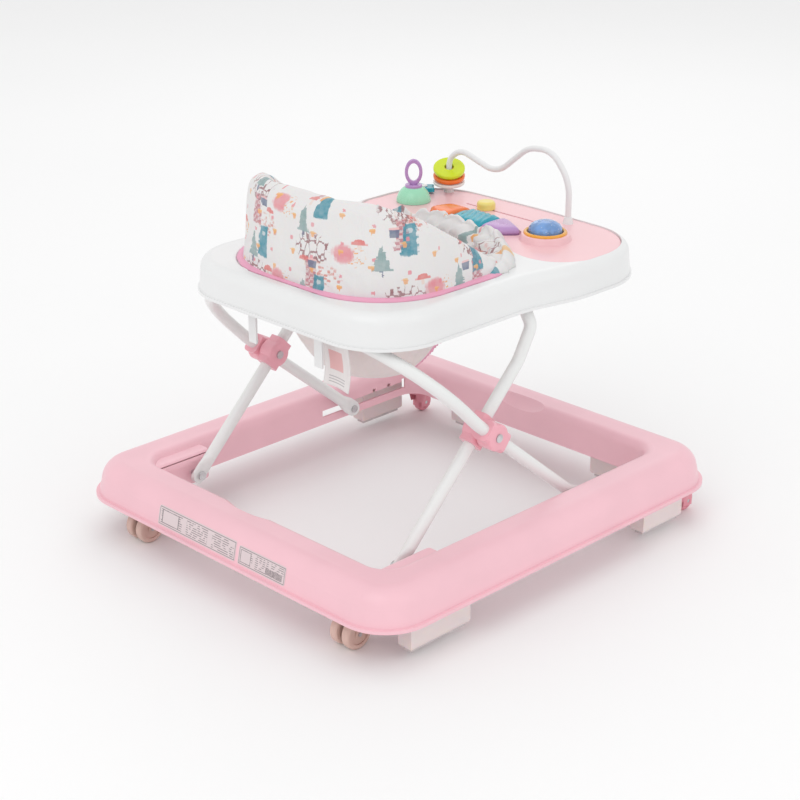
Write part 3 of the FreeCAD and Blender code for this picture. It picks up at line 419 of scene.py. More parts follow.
@dataclass(frozen=True)
class PrintedCloth(Webbing):
    """Off-white woven cloth with a soft watercolour print of small garden shapes.

    The map's v runs below zero only down the sling: its lower part is plain, and the edges of its
    leg holes are bound in the piping's colour.
    """
    stamps: tuple[Stamp, ...] = ()
    plain_from: float = -0.035
    plain: Colour = (0.8, 0.74, 0.72)
    binding: Colour = PIPING_PINK

    @staticmethod
    def _tile(u: Sock, v: Sock, stamp: Stamp) -> tuple[Sock, Sock]:
        """Local coordinates in a half-drop repeat, centred, in units of the motif's size."""
        wide, tall = stamp.tile
        column = (u + stamp.offset[0]) / wide
        index = column.math("FLOOR")
        p = (column.math("FRACT") - 0.5) * (wide / stamp.size)
        row = (v + stamp.offset[1]) / tall + index * stamp.drop
        q = (row.math("FRACT") - 0.5) * (tall / stamp.size)
        return p, q

    @staticmethod
    def _oval(p: Sock, q: Sock, at: Pair, reach: Pair,
              soft: float = 0.12) -> Sock:
        """Filled ellipse with a soft rim."""
        dx, dy = (p - at[0]) / reach[0], (q - at[1]) / reach[1]
        return (dx * dx + dy * dy).step(1.0 + soft, 1.0 - soft)

    @staticmethod
    def _block(p: Sock, q: Sock, at: Pair, half: Pair,
               lean: float = 0.0, taper: float = 0.0) -> Sock:
        """Upright bar, leaning and tapering with height."""
        dy = (q - at[1]) / half[1]
        dx = (p - at[0] - (q - at[1]) * lean) / half[0]
        width = 1.0 - dy * taper
        return abs(dx).math("SUBTRACT", width).step(0.08, -0.08) * abs(dy).step(1.05, 0.95)

    @staticmethod
    def _wedge(p: Sock, q: Sock, base: float, top: float, half: float) -> Sock:
        """Triangle that stands on its base, or hangs when top is below base."""
        rise = (q - base) / (top - base)
        inside = rise.band(-0.02, 0.03, 0.97, 1.02)
        return (abs(p) / half + rise).step(1.06, 0.96) * inside

    def _shape(self, s: Shader, stamp: Stamp, u: Sock, v: Sock,
               wobble: Sock) -> tuple[Sock, Optional[Sock]]:
        """The masks of a motif's main and second colour."""
        p, q = self._tile(u, v, stamp)
        p, q = p + (wobble - 0.5) * 0.1, q + (wobble - 0.5) * 0.08
        kind = stamp.motif
        if kind is Motif.TALL_TREE:
            trunk = self._block(p, q, (0.0, -0.18), (0.13, 0.3), 0.06, 0.18)
            knot = self._oval(p, q, (0.0, -0.02), (0.05, 0.05))
            spray = s.value("TexVoronoi", None, {"Vector": self._vector(s, p, q), "Scale": 15.0})
            crown = self._oval(p, q, (0.05, 0.22), (0.3, 0.15), 0.5) * spray.step(0.62, 0.3)
            crown = crown.either(self._oval(p, q, (0.22, 0.06), (0.2, 0.1), 0.5) * spray.step(
                0.5, 0.24))
            return trunk * (1.0 - knot * 0.6), crown
        if kind is Motif.ROUND_BUSH:
            dots = s.value("TexVoronoi", None, {"Vector": self._vector(s, p, q), "Scale": 13.0})
            body = self._oval(p, q, (-0.12, 0.0), (0.28, 0.26), 0.5)
            leaf = self._oval(p, q, (0.2, -0.04), (0.24, 0.3), 0.3) * dots.step(0.36, 0.28)
            return body, leaf
        if kind is Motif.PINE:
            tiers = self._wedge(p, q, -0.28, 0.12, 0.26)
            tiers = tiers.either(self._wedge(p, q, -0.1, 0.28, 0.2))
            tiers = tiers.either(self._wedge(p, q, 0.08, 0.45, 0.14))
            return tiers, self._block(p, q, (0.0, -0.36), (0.035, 0.1))
        if kind is Motif.BARE_TREE:
            twigs = s.value("TexVoronoi", {"feature": "DISTANCE_TO_EDGE"},
                            {"Vector": self._vector(s, p, q * 0.62), "Scale": 8.5})
            crown = self._oval(p, q, (0.0, 0.2), (0.36, 0.27), 0.1) * twigs.step(0.085, 0.05)
            trunk = self._block(p, q, (0.0, -0.22), (0.1, 0.26), 0.0, 0.3)
            knots = (q * 62.0).math("SINE") * (p * 55.0).math("SINE")
            return crown, trunk * (knots.step(-0.35, 0.2) * 0.6 + 0.4)
        if kind is Motif.CONE:
            return self._wedge(p, q, 0.22, -0.34, 0.32), self._oval(p, q, (0, 0.26), (0.3, 0.13))
        if kind is Motif.CAP:
            cap = self._oval(p, q, (0.0, 0.0), (0.42, 0.34)) * q.step(-0.04, 0.02)
            return cap, self._block(p, q, (0.0, -0.16), (0.09, 0.16))
        if kind is Motif.BERRY:
            return self._oval(p, q, (0.0, 0.0), (0.24, 0.34), 0.25), None
        pot = self._block(p, q, (0.0, -0.1), (0.32, 0.24), 0.0, -0.12)
        return pot, self._oval(p, q, (0.0, 0.2), (0.34, 0.09))

    @staticmethod
    def _vector(s: Shader, p: Sock, q: Sock) -> NodeSocket:
        """A flat vector from two values."""
        return s.node("CombineXYZ", None, {0: p, 1: q}).outputs[0]

    def material(self) -> Material:
        """Build the material: ground, each stamp's washes, weave and soft creases."""
        s = Shader(self.name)
        cloth_map = s.cloth()
        u, v, _ = s.axes(cloth_map)
        wobble = s.noise(cloth_map, 160.0, 2.0)
        wash = s.noise(cloth_map, 70.0, 4.0, 0.65)
        at = s.place()
        fade = s.noise(at, 10.0, 2.0)
        tone = s.mix(fade, shade(self.colour, 0.975), shade(self.colour, 1.01))
        strength = wash.step(0.15, 0.8) * 0.35 + 0.65
        for stamp in self.stamps:
            main, other = self._shape(s, stamp, u, v, wobble)
            if other is not None:
                tone = s.mix(other * strength, tone, stamp.second)
            tone = s.mix(main * strength, tone, stamp.colour)
        tone = s.mix(v.step(self.plain_from, self.plain_from - 0.004), tone, self.plain)
        x, y, z = s.axes(at)
        hole_x = (abs(x) - Seat.leg_hole[0]) / Seat.leg_reach[0]
        hole_y = (y - Seat.leg_hole[1]) / Seat.leg_reach[1]
        edge = (hole_x * hole_x + hole_y * hole_y).step(1.34, 1.3) * z.step(0.39, 0.388)
        tone = s.mix(edge * v.step(0.0, -0.01), tone, self.binding)
        threads = self.weave(s)
        tone = s.mix(threads * 0.08, tone, shade(self.colour, 0.8))
        crease = s.noise(cloth_map, 26.0, 3.0, 0.55)
        ripple = s.value("TexWave", {"wave_type": "BANDS", "bands_direction": "X"},
                         {"Vector": cloth_map, "Scale": 9.0, "Distortion": 5.0, "Detail": 2.0,
                          "Detail Scale": 2.0})
        normal = s.bump(threads, 0.00012, 0.5, s.bump(crease + ripple * 0.35, 0.0022, 0.55))
        return s.finish(Base_Color=tone, Roughness=wash * 0.1 + 0.76, Normal=normal,
                        Sheen_Weight=self.sheen, Sheen_Roughness=0.5, Subsurface_Weight=0.06,
                        Subsurface_Scale=0.004)


@dataclass(frozen=True)
class ClearCap:
    """Tinted clear plastic over a lamp: deep gloss, painted glints on small cells and moulded
    facets.
    """
    name: str
    colour: Colour

    def material(self) -> Material:
        """Build the material."""
        s = Shader(self.name)
        at = s.place()
        depth = s.noise(at, 60.0, 2.0)
        cells = s.value("TexVoronoi", None, {"Vector": at, "Scale": 170.0})
        tone = s.mix(depth.step(0.3, 0.7), shade(self.colour, 0.85), shade(self.colour, 1.15))
        # painted glints: a pale near-white spot in the middle of each small cell, at half strength
        tone = s.mix(cells.step(0.25, 0.05) * 0.5, tone, (0.86, 0.93, 1.0))
        return s.finish(Base_Color=tone, Roughness=depth * 0.06 + 0.06, IOR=1.52,
                        Transmission_Weight=0.25, Coat_Weight=0.7, Coat_Roughness=0.04,
                        Normal=s.bump(cells, 0.0003, 0.25))


PINK = (0.91, 0.55, 0.615)
WHITE = (0.83, 0.835, 0.835)
CLOTH_WHITE = (0.79, 0.775, 0.77)
TEAL = (0.01, 0.25, 0.34)
CORAL = (0.72, 0.16, 0.15)
ROSE = (0.76, 0.27, 0.31)
SAGE = (0.24, 0.36, 0.36)
OCHRE = (0.82, 0.38, 0.13)
SLATE = (0.13, 0.17, 0.27)

STAMPS = (
    Stamp(Motif.BARE_TREE, (0.3, 0.12, 0.13), (0.113, 0.121), (0.031, 0.023), 0.078, 0.5,
          (0.5, 0.16, 0.2)),
    Stamp(Motif.TALL_TREE, TEAL, (0.109, 0.117), (0.113, 0.041), 0.07, 0.36, (0.66, 0.24, 0.2)),
    Stamp(Motif.ROUND_BUSH, ROSE, (0.107, 0.101), (0.067, 0.091), 0.046, 0.47, OCHRE),
    Stamp(Motif.PINE, SAGE, (0.103, 0.097), (0.01, 0.102), 0.046, 0.4, SLATE),
    Stamp(Motif.CONE, OCHRE, (0.037, 0.047), (0.02, 0.013), 0.012, 0.37, (0.85, 0.5, 0.2)),
    Stamp(Motif.CAP, CORAL, (0.073, 0.079), (0.047, 0.055), 0.021, 0.6, (0.8, 0.66, 0.6)),
    Stamp(Motif.BERRY, ROSE, (0.039, 0.043), (0.003, 0.039), 0.0085, 0.42),
    Stamp(Motif.POT, SLATE, (0.101, 0.109), (0.087, 0.011), 0.021, 0.55, (0.84, 0.5, 0.5)),
)


class Finish(Enum):
    """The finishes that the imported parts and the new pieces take."""
    RAIL = Moulded("rail_pink", PINK, 0.36, 0.1, 0.00005, 800.0, 0.03)
    CLAMP = Moulded("clamp_pink", (0.88, 0.42, 0.49), 0.34, 0.2)
    CASTER = Moulded("caster_pink", (0.8, 0.3, 0.37), 0.36, 0.2)
    TRAY = Moulded("tray_white", WHITE, 0.33, 0.15, 0.00004, 700.0, 0.012)
    TRIM = Moulded("trim_white", shade(WHITE, 0.99), 0.4, 0.05, clouds=0.02)
    STOPPER = Moulded("stopper_milk", (0.85, 0.72, 0.71), 0.42, 0.05, translucent=0.25)
    WHEEL = Moulded("wheel_beige", (0.72, 0.5, 0.43), 0.44, 0.0, 0.0001, 500.0, 0.07)
    PANEL = Moulded("panel_pink", (0.9, 0.56, 0.59), 0.3, 0.2, 0.00003, 900.0, 0.02)
    LIME = Moulded("lime_gloss", (0.66, 0.79, 0.005), 0.25, 0.35, 0.00002)
    ORANGE = Moulded("orange_gloss", (0.87, 0.17, 0.02), 0.25, 0.25, 0.00002)
    PALE = Moulded("pale_gloss", (0.8, 0.74, 0.7), 0.28, 0.3, 0.00002)
    TEAL_TOY = Moulded("teal_gloss", (0.005, 0.34, 0.44), 0.25, 0.35, 0.00002)
    LILAC = Moulded("lilac_gloss", (0.5, 0.29, 0.58), 0.27, 0.3, 0.00002)
    MINT = Moulded("mint_gloss", (0.35, 0.76, 0.52), 0.27, 0.3, 0.00002)
    YELLOW = Moulded("yellow_gloss", (0.87, 0.72, 0.2), 0.3, 0.3, 0.00002)
    AMBER = Moulded("amber_gloss", (0.87, 0.4, 0.04), 0.25, 0.4, 0.00002)
    BOARD = Moulded("board_mask", (0.02, 0.16, 0.07), 0.5, 0.1)
    TUBE = PowderCoat("tube_white", (0.83, 0.84, 0.83))
    STEEL = Steel("zinc_plate")
    CELL = Steel("cell_wrap", (0.5, 0.5, 0.53))
    GRIP = Rubber("grip_grey", (0.62, 0.56, 0.56))
    CLOTH = PrintedCloth("seat_cloth", CLOTH_WHITE, 0.0011, 0.2, STAMPS)
    PIPING = Webbing("piping_pink", PIPING_PINK, 0.0012)
    LIGHT = ClearCap("lamp_blue", (0.2, 0.42, 0.84))

    def get(self) -> Material:
        """The built material, made once."""
        made = bpy.data.materials.get(self.value.name)
        return made if made is not None else self.value.material()


# ------------------------------------------------------------------ mesh helpers

def wear(piece: Object, material: Material) -> None:
    """Make a material the only one on a piece."""
    piece.data.materials.clear()
    piece.data.materials.append(material)


def new_piece(name: str, points: Array, faces: list, smooth: bool = True,
              cloth_map: Optional[Array] = None) -> Object:
    """Put a mesh into the scene at the origin.

    Args:
        name: the piece's name.
        points: vertex places, one row each.
        faces: vertex numbers of each face.
        smooth: True for smooth shading.
        cloth_map: one (u, v) row for each face corner, in metres.

    Returns:
        The new object.
    """
    mesh = bpy.data.meshes.new(name)
    mesh.from_pydata(points.reshape(-1, 3).tolist(), [], faces)
    mesh.polygons.foreach_set("use_smooth", np.full(len(faces), smooth))
    if cloth_map is not None:
        layer = mesh.uv_layers.new(name=CLOTH_MAP)
        layer.data.foreach_set("uv", cloth_map.astype(np.float32).ravel())
    mesh.validate()
    mesh.update()
    piece = bpy.data.objects.new(name, mesh)
    bpy.context.scene.collection.objects.link(piece)
    return piece


def grid_faces(rows: int, columns: int, wrap_rows: bool, wrap_columns: bool) -> Array:
    """Quads of a rows by columns grid whose ends may join.

    Args:
        rows: number of rows of points.
        columns: number of points in a row.
        wrap_rows: True if the last row joins the first.
        wrap_columns: True if the last column joins the first.

    Returns:
        An array of four vertex numbers for each quad.
    """
    i, j = np.meshgrid(np.arange(rows - (not wrap_rows)), np.arange(columns - (not wrap_columns)),
                       indexing="ij")
    i, j = i.ravel(), j.ravel()
    down, across = (i + 1) % rows, (j + 1) % columns
    return np.stack([i * columns + j, down * columns + j, down * columns + across,
                     i * columns + across], axis=1)


def corner_map(cloth_map: Array, quads: Array, columns: int) -> Array:
    """The cloth map's value at the four corners of each quad of a grid."""
    i, j = np.divmod(quads[:, 0], columns)
    return np.stack([cloth_map[i, j], cloth_map[i + 1, j], cloth_map[i + 1, j + 1],
                     cloth_map[i, j + 1]], axis=1)


def grid_piece(name: str, points: Array, wrap_rows: bool = False, wrap_columns: bool = False,
               cloth_map: Optional[Array] = None, caps: bool = False) -> Object:
    """A surface from a grid of points, with its ends shut if asked.

    Args:
        name: the piece's name.
        points: rows by columns by 3.
        wrap_rows: True if the last row joins the first.
        wrap_columns: True if the last column joins the first.
        cloth_map: rows + 1 by columns + 1 by 2, in metres, so that a joined seam can have two
            values.
        caps: True to shut the first and last rows with one face each.

    Returns:
        The new object.
    """
    rows, columns = points.shape[:2]
    quads = grid_faces(rows, columns, wrap_rows, wrap_columns)
    faces = quads.tolist()
    corners = None
    if cloth_map is not None:
        corners = corner_map(cloth_map, quads, columns).reshape(-1, 2)
    if caps:
        faces += [list(range(columns))[::-1], list(range((rows - 1) * columns, rows * columns))]
        if corners is not None:
            ends = np.concatenate([cloth_map[0, :columns][::-1], cloth_map[rows - 1, :columns]])
            corners = np.concatenate([corners, ends])
    return new_piece(name, points, faces, True, corners)


@contextmanager
def editing(piece: Object) -> Iterator[bmesh.types.BMesh]:
    """A piece's mesh opened for editing, and written back at the end."""
    work = bmesh.new()
    work.from_mesh(piece.data)
    yield work
    work.to_mesh(piece.data)
    work.free()


def outward(piece: Object) -> None:
    """Turn every face of a closed piece outwards."""
    with editing(piece) as work:
        bmesh.ops.recalc_face_normals(work, faces=work.faces)


def thicken(piece: Object, name: str, thickness: float) -> None:
    """Give a sheet its thickness, half to each side."""
    wall = piece.modifiers.new(name, "SOLIDIFY")
    wall.thickness, wall.offset = thickness, 0.0


def round_path(corners: Sequence[Pair], radii: Sequence[float], step: float,
               closed: bool) -> Array:
    """Points at equal steps along straight runs joined by tangent arcs, in a plane.

    Args:
        corners: the corners of the route.
        radii: the arc's radius at each corner; 0 keeps an end.
        step: distance between points in metres.
        closed: True if the route joins up.

    Returns:
        An array of points, two values each.
    """
    places = np.array(corners, float)
    count = len(places)
    pieces: list[Array] = []
    for k in range(count):
        here = places[k]
        if not closed and k in (0, count - 1):
            pieces.append(here[None])
            continue
        back, ahead = places[k - 1] - here, places[(k + 1) % count] - here
        back, ahead = back / np.linalg.norm(back), ahead / np.linalg.norm(ahead)
        half = math.acos(float(np.clip(back @ ahead, -1, 1))) / 2
        reach = radii[k] / math.tan(half)
        centre = here + (back + ahead) / np.linalg.norm(back + ahead) * radii[k] / math.sin(half)
        first, last = here + back * reach - centre, here + ahead * reach - centre
        sweep = math.atan2(first[0] * last[1] - first[1] * last[0], float(first @ last))
        angles = np.linspace(0, sweep, max(3, int(abs(sweep) * radii[k] / step) + 2))
        turn = np.stack([np.cos(angles), np.sin(angles)], axis=1)
        side = np.array([-first[1], first[0]])
        pieces.append(centre + turn[:, :1] * first + turn[:, 1:] * side)
    route = np.concatenate(pieces + ([pieces[0][:1]] if closed else []))
    lengths = np.concatenate([[0], np.cumsum(np.linalg.norm(np.diff(route, axis=0), axis=1))])
    total = lengths[-1]
    places_along = np.linspace(0, total, int(total / step) + 1)
    if closed:
        places_along = places_along[:-1]
    return np.stack([np.interp(places_along, lengths, route[:, axis]) for axis in (0, 1)], axis=1)


def sideways(path: Array, closed: bool) -> Array:
    """Unit normals in the plane, to the left of a path's direction."""
    if closed:
        along = np.roll(path, -1, axis=0) - np.roll(path, 1, axis=0)
    else:
        along = np.gradient(path, axis=0)
    along /= np.linalg.norm(along, axis=1, keepdims=True)
    return np.stack([-along[:, 1], along[:, 0]], axis=1)


def smooth(value: Array, low: float, high: float) -> Array:
    """Eased step from 0 at low to 1 at high."""
    t = np.clip((value - low) / (high - low), 0, 1)
    return t * t * (3 - 2 * t)


def coordinates(mesh: Mesh) -> Array:
    """Every vertex place of a mesh, one row each."""
    flat = np.empty(len(mesh.vertices) * 3, np.float32)
    mesh.vertices.foreach_get("co", flat)
    return flat.reshape(-1, 3).astype(float)


def move_to(mesh: Mesh, points: Array) -> None:
    """Move every vertex of a mesh to a place of its own, one row each."""
    mesh.vertices.foreach_set("co", points.astype(np.float32).ravel())
    mesh.update()


def settle(piece: Object) -> None:
    """Replace a piece's mesh by its modifiers' result and drop them."""
    graph = bpy.context.evaluated_depsgraph_get()
    graph.update()
    done = bpy.data.meshes.new_from_object(piece.evaluated_get(graph), depsgraph=graph)
    piece.modifiers.clear()
    done.name = piece.name
    piece.data = done


def puff(piece: Object, voxel: float, pressure: float, cap: float,
         hold_below: float) -> None:
    """Swell a closed shape into a stuffed one with a short cloth simulation.

    Args:
        piece: a closed mesh.
        voxel: remesh size in metres.
        pressure: the cloth's inner pressure.
        cap: the furthest that a point may move, in metres.
        hold_below: points lower than this stay where they are.
    """
    mesh_again = piece.modifiers.new("voxels", "REMESH")
    mesh_again.mode, mesh_again.voxel_size = "VOXEL", voxel
    settle(piece)
    start = coordinates(piece.data)
    group = piece.vertex_groups.new(name="held")
    group.add(np.flatnonzero(start[:, 2] < hold_below).tolist(), 1.0, "REPLACE")
    cloth = piece.modifiers.new("stuffing", "CLOTH")
    cloth.settings.use_pressure = True
    cloth.settings.uniform_pressure_force = pressure
    cloth.settings.vertex_group_mass = "held"
    cloth.settings.effector_weights.gravity = 0.0
    cloth.point_cache.frame_start, cloth.point_cache.frame_end = 1, SIM_FRAMES
    scene = bpy.context.scene
    for number in range(1, SIM_FRAMES + 1):
        scene.frame_set(number)
    settle(piece)
    scene.frame_set(1)
    moved = coordinates(piece.data) - start
    length = np.linalg.norm(moved, axis=1, keepdims=True)
    moved *= np.minimum(1.0, cap / np.maximum(length, 1e-9))
    move_to(piece.data, start + moved)
    piece.vertex_groups.clear()


def finish_piece(piece: Object, body: str, material: Material,
                 nodes: Iterable[str]) -> None:
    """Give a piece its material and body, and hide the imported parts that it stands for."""
    wear(piece, material)
    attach(piece, body)
    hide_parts(*nodes)
    LOG.info("%s: %d faces on %s", piece.name, len(piece.data.polygons), body)


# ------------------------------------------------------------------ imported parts

@dataclass
class PackedParts:
    """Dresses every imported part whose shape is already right."""
    finishes: dict[Finish, tuple[str, ...]] = field(default_factory=lambda: {
        Finish.RAIL: ("base_frame",),
        Finish.STOPPER: ("side_stoppers", "front_stopper"),
        Finish.GRIP: ("stopper_grips",),
        Finish.STEEL: ("rear_pivot_rivets", "cross_rivets", "slot_pins", "rear_axles",
                       "saddle_screws", "caster_axle_right", "caster_axle_left"),
        Finish.WHEEL: ("rear_wheels_right", "rear_wheels_left"),
        Finish.CASTER: ("caster_fork_right", "caster_fork_left", "caster_wheel_right",
                        "caster_wheel_left"),
        Finish.TUBE: ("rear_leg_tube_right", "rear_leg_tube_left", "front_leg_tube"),
        Finish.CLAMP: ("rear_leg_sleeve_right", "rear_leg_sleeve_left", "front_leg_sleeves"),
        Finish.TRAY: ("tray_shell",),
        Finish.TRIM: ("rear_wheel_mounts", "caster_sockets", "leg_guides", "bar_saddles",
                      "saddle_straps", "electronics_case", "battery_door", "bar_feet",
                      "seat_tabs", "rear_leg_slider_right", "rear_leg_slider_left",
                      "star_post", "bead_bar"),
        Finish.PANEL: ("toy_panel",),
        Finish.BOARD: ("circuit_board",),
        Finish.CELL: ("batteries",),
        Finish.LIME: ("disc_lime",),
        Finish.ORANGE: ("disc_orange",),
        Finish.PALE: ("disc_white",),
        Finish.TEAL_TOY: ("star_spinner",),
        Finish.LILAC: ("ring_toy",),
        Finish.MINT: ("mint_dome",),
        Finish.YELLOW: ("slider_knob",),
        Finish.AMBER: ("light_ring",),
    })
    films: tuple[str, ...] = ("rating_sticker", "stock_sticker")

    def dress(self) -> None:
        """Assign the finishes, then the two printed films."""
        for finish, names in self.finishes.items():
            for name in names:
                wear(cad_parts[name], finish.get())
        for name in self.films:
            low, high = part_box(name)
            film = Film(name, (0.76, 0.64, 0.655), (0.1, 0.08, 0.09), (low.x, low.z),
                        (high.x, high.z), bars=name == "stock_sticker")
            wear(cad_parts[name], film.material())
        LOG.info("dressed %d packed parts", sum(map(len, self.finishes.values())) + len(self.films))


# ------------------------------------------------------------------ seat

@dataclass
class Seat:
    """The cloth seat: stuffed back with sloping wings, hanging sling, pink piping and label."""
    tray_top: float = 0.42
    half_width: float = 0.148
    rear: float = -0.187
    corner: float = 0.098
    wing_front: float = 0.03
    thick: float = 0.033
    crest: tuple[Pair, ...] = (
        (-0.2, 0.534), (-0.165, 0.529), (-0.113, 0.507), (-0.076, 0.485), (-0.037, 0.463),
        (0.0, 0.440), (0.02, 0.427), (0.06, 0.42))
    hole: tuple[Pair, ...] = (
        (0.174, -0.214), (0.178, 0.038), (0.066, 0.124), (-0.066, 0.124), (-0.178, 0.038),
        (-0.174, -0.214))
    hole_radii: tuple[float, ...] = (0.116, 0.092, 0.062, 0.062, 0.092, 0.116)
    leg_hole: Pair = (0.064, -0.012)
    leg_reach: Pair = (0.043, 0.047)
    sling_inset: float = 0.009
    bowl_middle: Pair = (0.0, -0.056)
    bowl_radius: float = 0.128
    bowl_depth: float = 0.1625
    roll_in: float = 0.016
    roll_up: float = 0.013
    piping_inset: float = 0.0048
    piping_half: Pair = (0.005, 0.0024)
    piping_step: float = 0.005

    def back_path(self) -> Array:
        """The back's middle line in plan, from the left wing's tip round to the right one's."""
        w, y = self.half_width, self.wing_front
        return round_path([(-w - 0.004, y), (-w, self.rear), (w, self.rear), (w + 0.004, y)],
                          [0, self.corner, self.corner, 0], PATH_STEP, False)

    def build_back(self) -> Object:
        """The stuffed back.

        A closed section (a bar with a rounded crest) is carried along the plan path. Its height
        follows the crest table and it leans in by a share of its height. Cloth simulation swells
        it, then gathers are pressed in across the crest.

        Returns:
            The back's object.
        """
        path = self.back_path()
        side = sideways(path, False)
        crest = np.interp(path[:, 1], *np.array(self.crest).T)
        low = self.tray_top - 0.007
        tall = np.maximum(crest - low, 0.012)
        turn = np.linspace(0, 1, 64, endpoint=False)
        # section: up the outer face, over the crest, down the inner face, back along the foot
        knots = np.array([0.0, 0.38, 0.5, 0.88, 1.0])
        across = np.interp(turn, knots, [1.0, 1.0, -1.0, -1.0, 1.0])
        rise = np.interp(turn, knots, [0.0, 1.0, 1.0, 0.0, 0.0])
        round_off = np.sin(np.pi * np.clip((turn - 0.38) / 0.12, 0, 1))
        half = self.thick / 2 * (0.75 + 0.25 * smooth(tall, 0.02, 0.08))
        offset = across[None] * half[:, None]
        height = rise[None] * tall[:, None] + round_off[None] * half[:, None] * 0.9
        # the foot presses on the opening's edge, the crest leans inwards
        lean = -0.055 * height + 0.006 * (1 - height / tall[:, None])
        middle = path[:, None] - side[:, None] * (offset + lean)[..., None]
        points = np.concatenate([middle, (low + height)[..., None]], axis=2)
        piece = grid_piece("seat_back_pad", points, wrap_columns=True, caps=True)
        outward(piece)
        puff(piece, voxel=0.005, pressure=4.0, cap=0.007, hold_below=low + 0.006)
        self._gather(piece, path, side)
        softener = piece.modifiers.new("soft", "SUBSURF")
        softener.levels = softener.render_levels = 1
        settle(piece)
        piece.data.polygons.foreach_set("use_smooth", np.ones(len(piece.data.polygons), bool))
        self._map_back(piece, path, side, crest)
        return piece

    @staticmethod
    def _nearest(points: Array, path: Array, side: Array
                 ) -> tuple[Array, Array]:
        """Each point's nearest place on the path and its distance towards the outside."""
        index = np.empty(len(points), int)
        for start in range(0, len(points), 4000):
            part = points[start:start + 4000, None, :2] - path[None]
            index[start:start + 4000] = np.argmin((part ** 2).sum(axis=2), axis=1)
        away = ((points[:, :2] - path[index]) * -side[index]).sum(axis=1)
        return index, away

    def _gather(self, piece: Object, path: Array, side: Array) -> None:
        """Press soft gathers into the cloth: waves along the path, stronger by the crest."""
        here = coordinates(piece.data)
        index, away = self._nearest(here, path, side)
        s = index * PATH_STEP
        z = here[:, 2] - self.tray_top
        wave = (np.sin(s * 118 + 3.1 * np.sin(s * 21)) + 0.6 * np.sin(s * 205 + z * 60 + 1.0)
                + 0.5 * np.sin(z * 95 + s * 34))
        slow = np.sin(s * 31 + z * 28) + 0.6 * np.sin(s * 17 - z * 41 + 2.0)
        amount = 0.0006 * wave * (0.35 + smooth(z, 0.03, 0.1)) + 0.0011 * slow
        outwards = -side[index] * np.sign(away)[:, None]
        here[:, :2] += outwards * amount[:, None] * smooth(z, -0.003, 0.012)[:, None]
        move_to(piece.data, here)

    def _map_back(self, piece: Object, path: Array, side: Array,
                  crest: Array) -> None:
        """Lay the cloth map: along the path, and up the outside, over the crest and down inside."""
        here = coordinates(piece.data)
        index, away = self._nearest(here, path, side)
        inside = smooth(-away, -0.009, 0.009)
        up = here[:, 2]
        down = 2 * crest[index] - up + 0.02
        spread = np.stack([index * PATH_STEP, up * (1 - inside) + down * inside], axis=1)
        corners = np.empty(len(piece.data.loops), np.int32)
        piece.data.loops.foreach_get("vertex_index", corners)
        layer = piece.data.uv_layers.new(name=CLOTH_MAP)
        layer.data.foreach_set("uv", spread[corners].astype(np.float32).ravel())

    def rim(self, inset: float, step: float) -> Array:
        """The seat opening's edge in plan, drawn in by an inset."""
        path = round_path(self.hole, self.hole_radii, step, True)
        return path + sideways(path, True) * inset

    def build_sling(self) -> Object:
        """The hanging sling: one sheet from the opening's edge down to a rounded bucket.

        Rings shrink from the rim's outline to the bucket's middle while they sink along a
        quarter of a super-ellipse. Two leg holes are left out, their edges drawn onto ellipses,
        and slow waves make the cloth pucker.

        Returns:
            The sling's object.
        """
        rim = self.rim(self.sling_inset, PATH_STEP)
        count = len(rim)
        middle = np.array(self.bowl_middle)
        drop = np.linspace(0, 1, 70)
        reach = np.cos(drop * np.pi / 2) ** 0.62
        sink = np.sin(drop * np.pi / 2) ** 1.12
        angle = np.arctan2(rim[:, 0], rim[:, 1] - middle[1])
        bowl = np.stack([np.sin(angle), np.cos(angle)], axis=1) * self.bowl_radius
        draw = smooth(drop, 0.0, 0.42)[:, None, None]
        outline = (rim - middle)[None] * (1 - draw) + bowl[None] * draw
        flat = middle + outline * reach[:, None, None]
        low = self.tray_top - 0.0005 - self.bowl_depth * sink[:, None] * np.ones(count)
        pucker = 0.0022 * np.sin(angle * 23 + 2.0 * np.sin(drop * 6)[:, None]) * np.sin(
            np.pi * np.clip(drop * 1.6, 0, 1))[:, None]
        flat = flat - (flat - middle) * (pucker / 0.13)[..., None]
        # the cloth stands up in a soft crumpled roll where the seat meets the toys
        front = smooth(rim[:, 1], -0.012, 0.035)[None]
        t = drop[:, None]
        swell = front * smooth(t, 0.0, 0.05) * (1 - smooth(t, 0.06, 0.24))
        crumple = self._crumple(np.arange(count) * PATH_STEP, t)
        flat = flat + (middle - flat) / np.linalg.norm(middle - flat, axis=2, keepdims=True) * (
            self.roll_in * swell * crumple)[..., None]
        low = low + self.roll_up * front * (1 - smooth(t, 0.02, 0.2)) * crumple
        points = np.concatenate([flat, low[..., None]], axis=2)
        points = np.concatenate([self._folded_edge(rim), self._leg_holes(points)])
        keep = self._outside_holes(points)
        around = np.concatenate([[0], np.cumsum(np.linalg.norm(
            np.diff(np.concatenate([rim, rim[:1]]), axis=0), axis=1))])
        down = np.concatenate([[0], np.cumsum(np.linalg.norm(
            np.diff(points[:, 0], axis=0), axis=1))])
        down = np.concatenate([down, down[-1:]])
        spread = np.stack(np.broadcast_arrays(around[None], -down[:, None]), axis=2)
        quads = grid_faces(len(points), count, False, True)
        quads = quads[keep.ravel()[quads].all(axis=1)]
        corners = corner_map(spread, quads, count)[:, ::-1].reshape(-1, 2)
        piece = new_piece("seat_sling_cloth", points, quads[:, ::-1].tolist(), True, corners)
        self._clean(piece)
        return piece

    @staticmethod
    def _crumple(s: Array, t: Union[float, Array]) -> Array:
        """Size of the front roll at a length s round the edge and a share t of the way down."""
        return 1 + 0.3 * np.sin(s * 96 + 3 * np.sin(s * 29) + t * 40) + 0.22 * np.sin(
            s * 193 - t * 85 + 1.2)

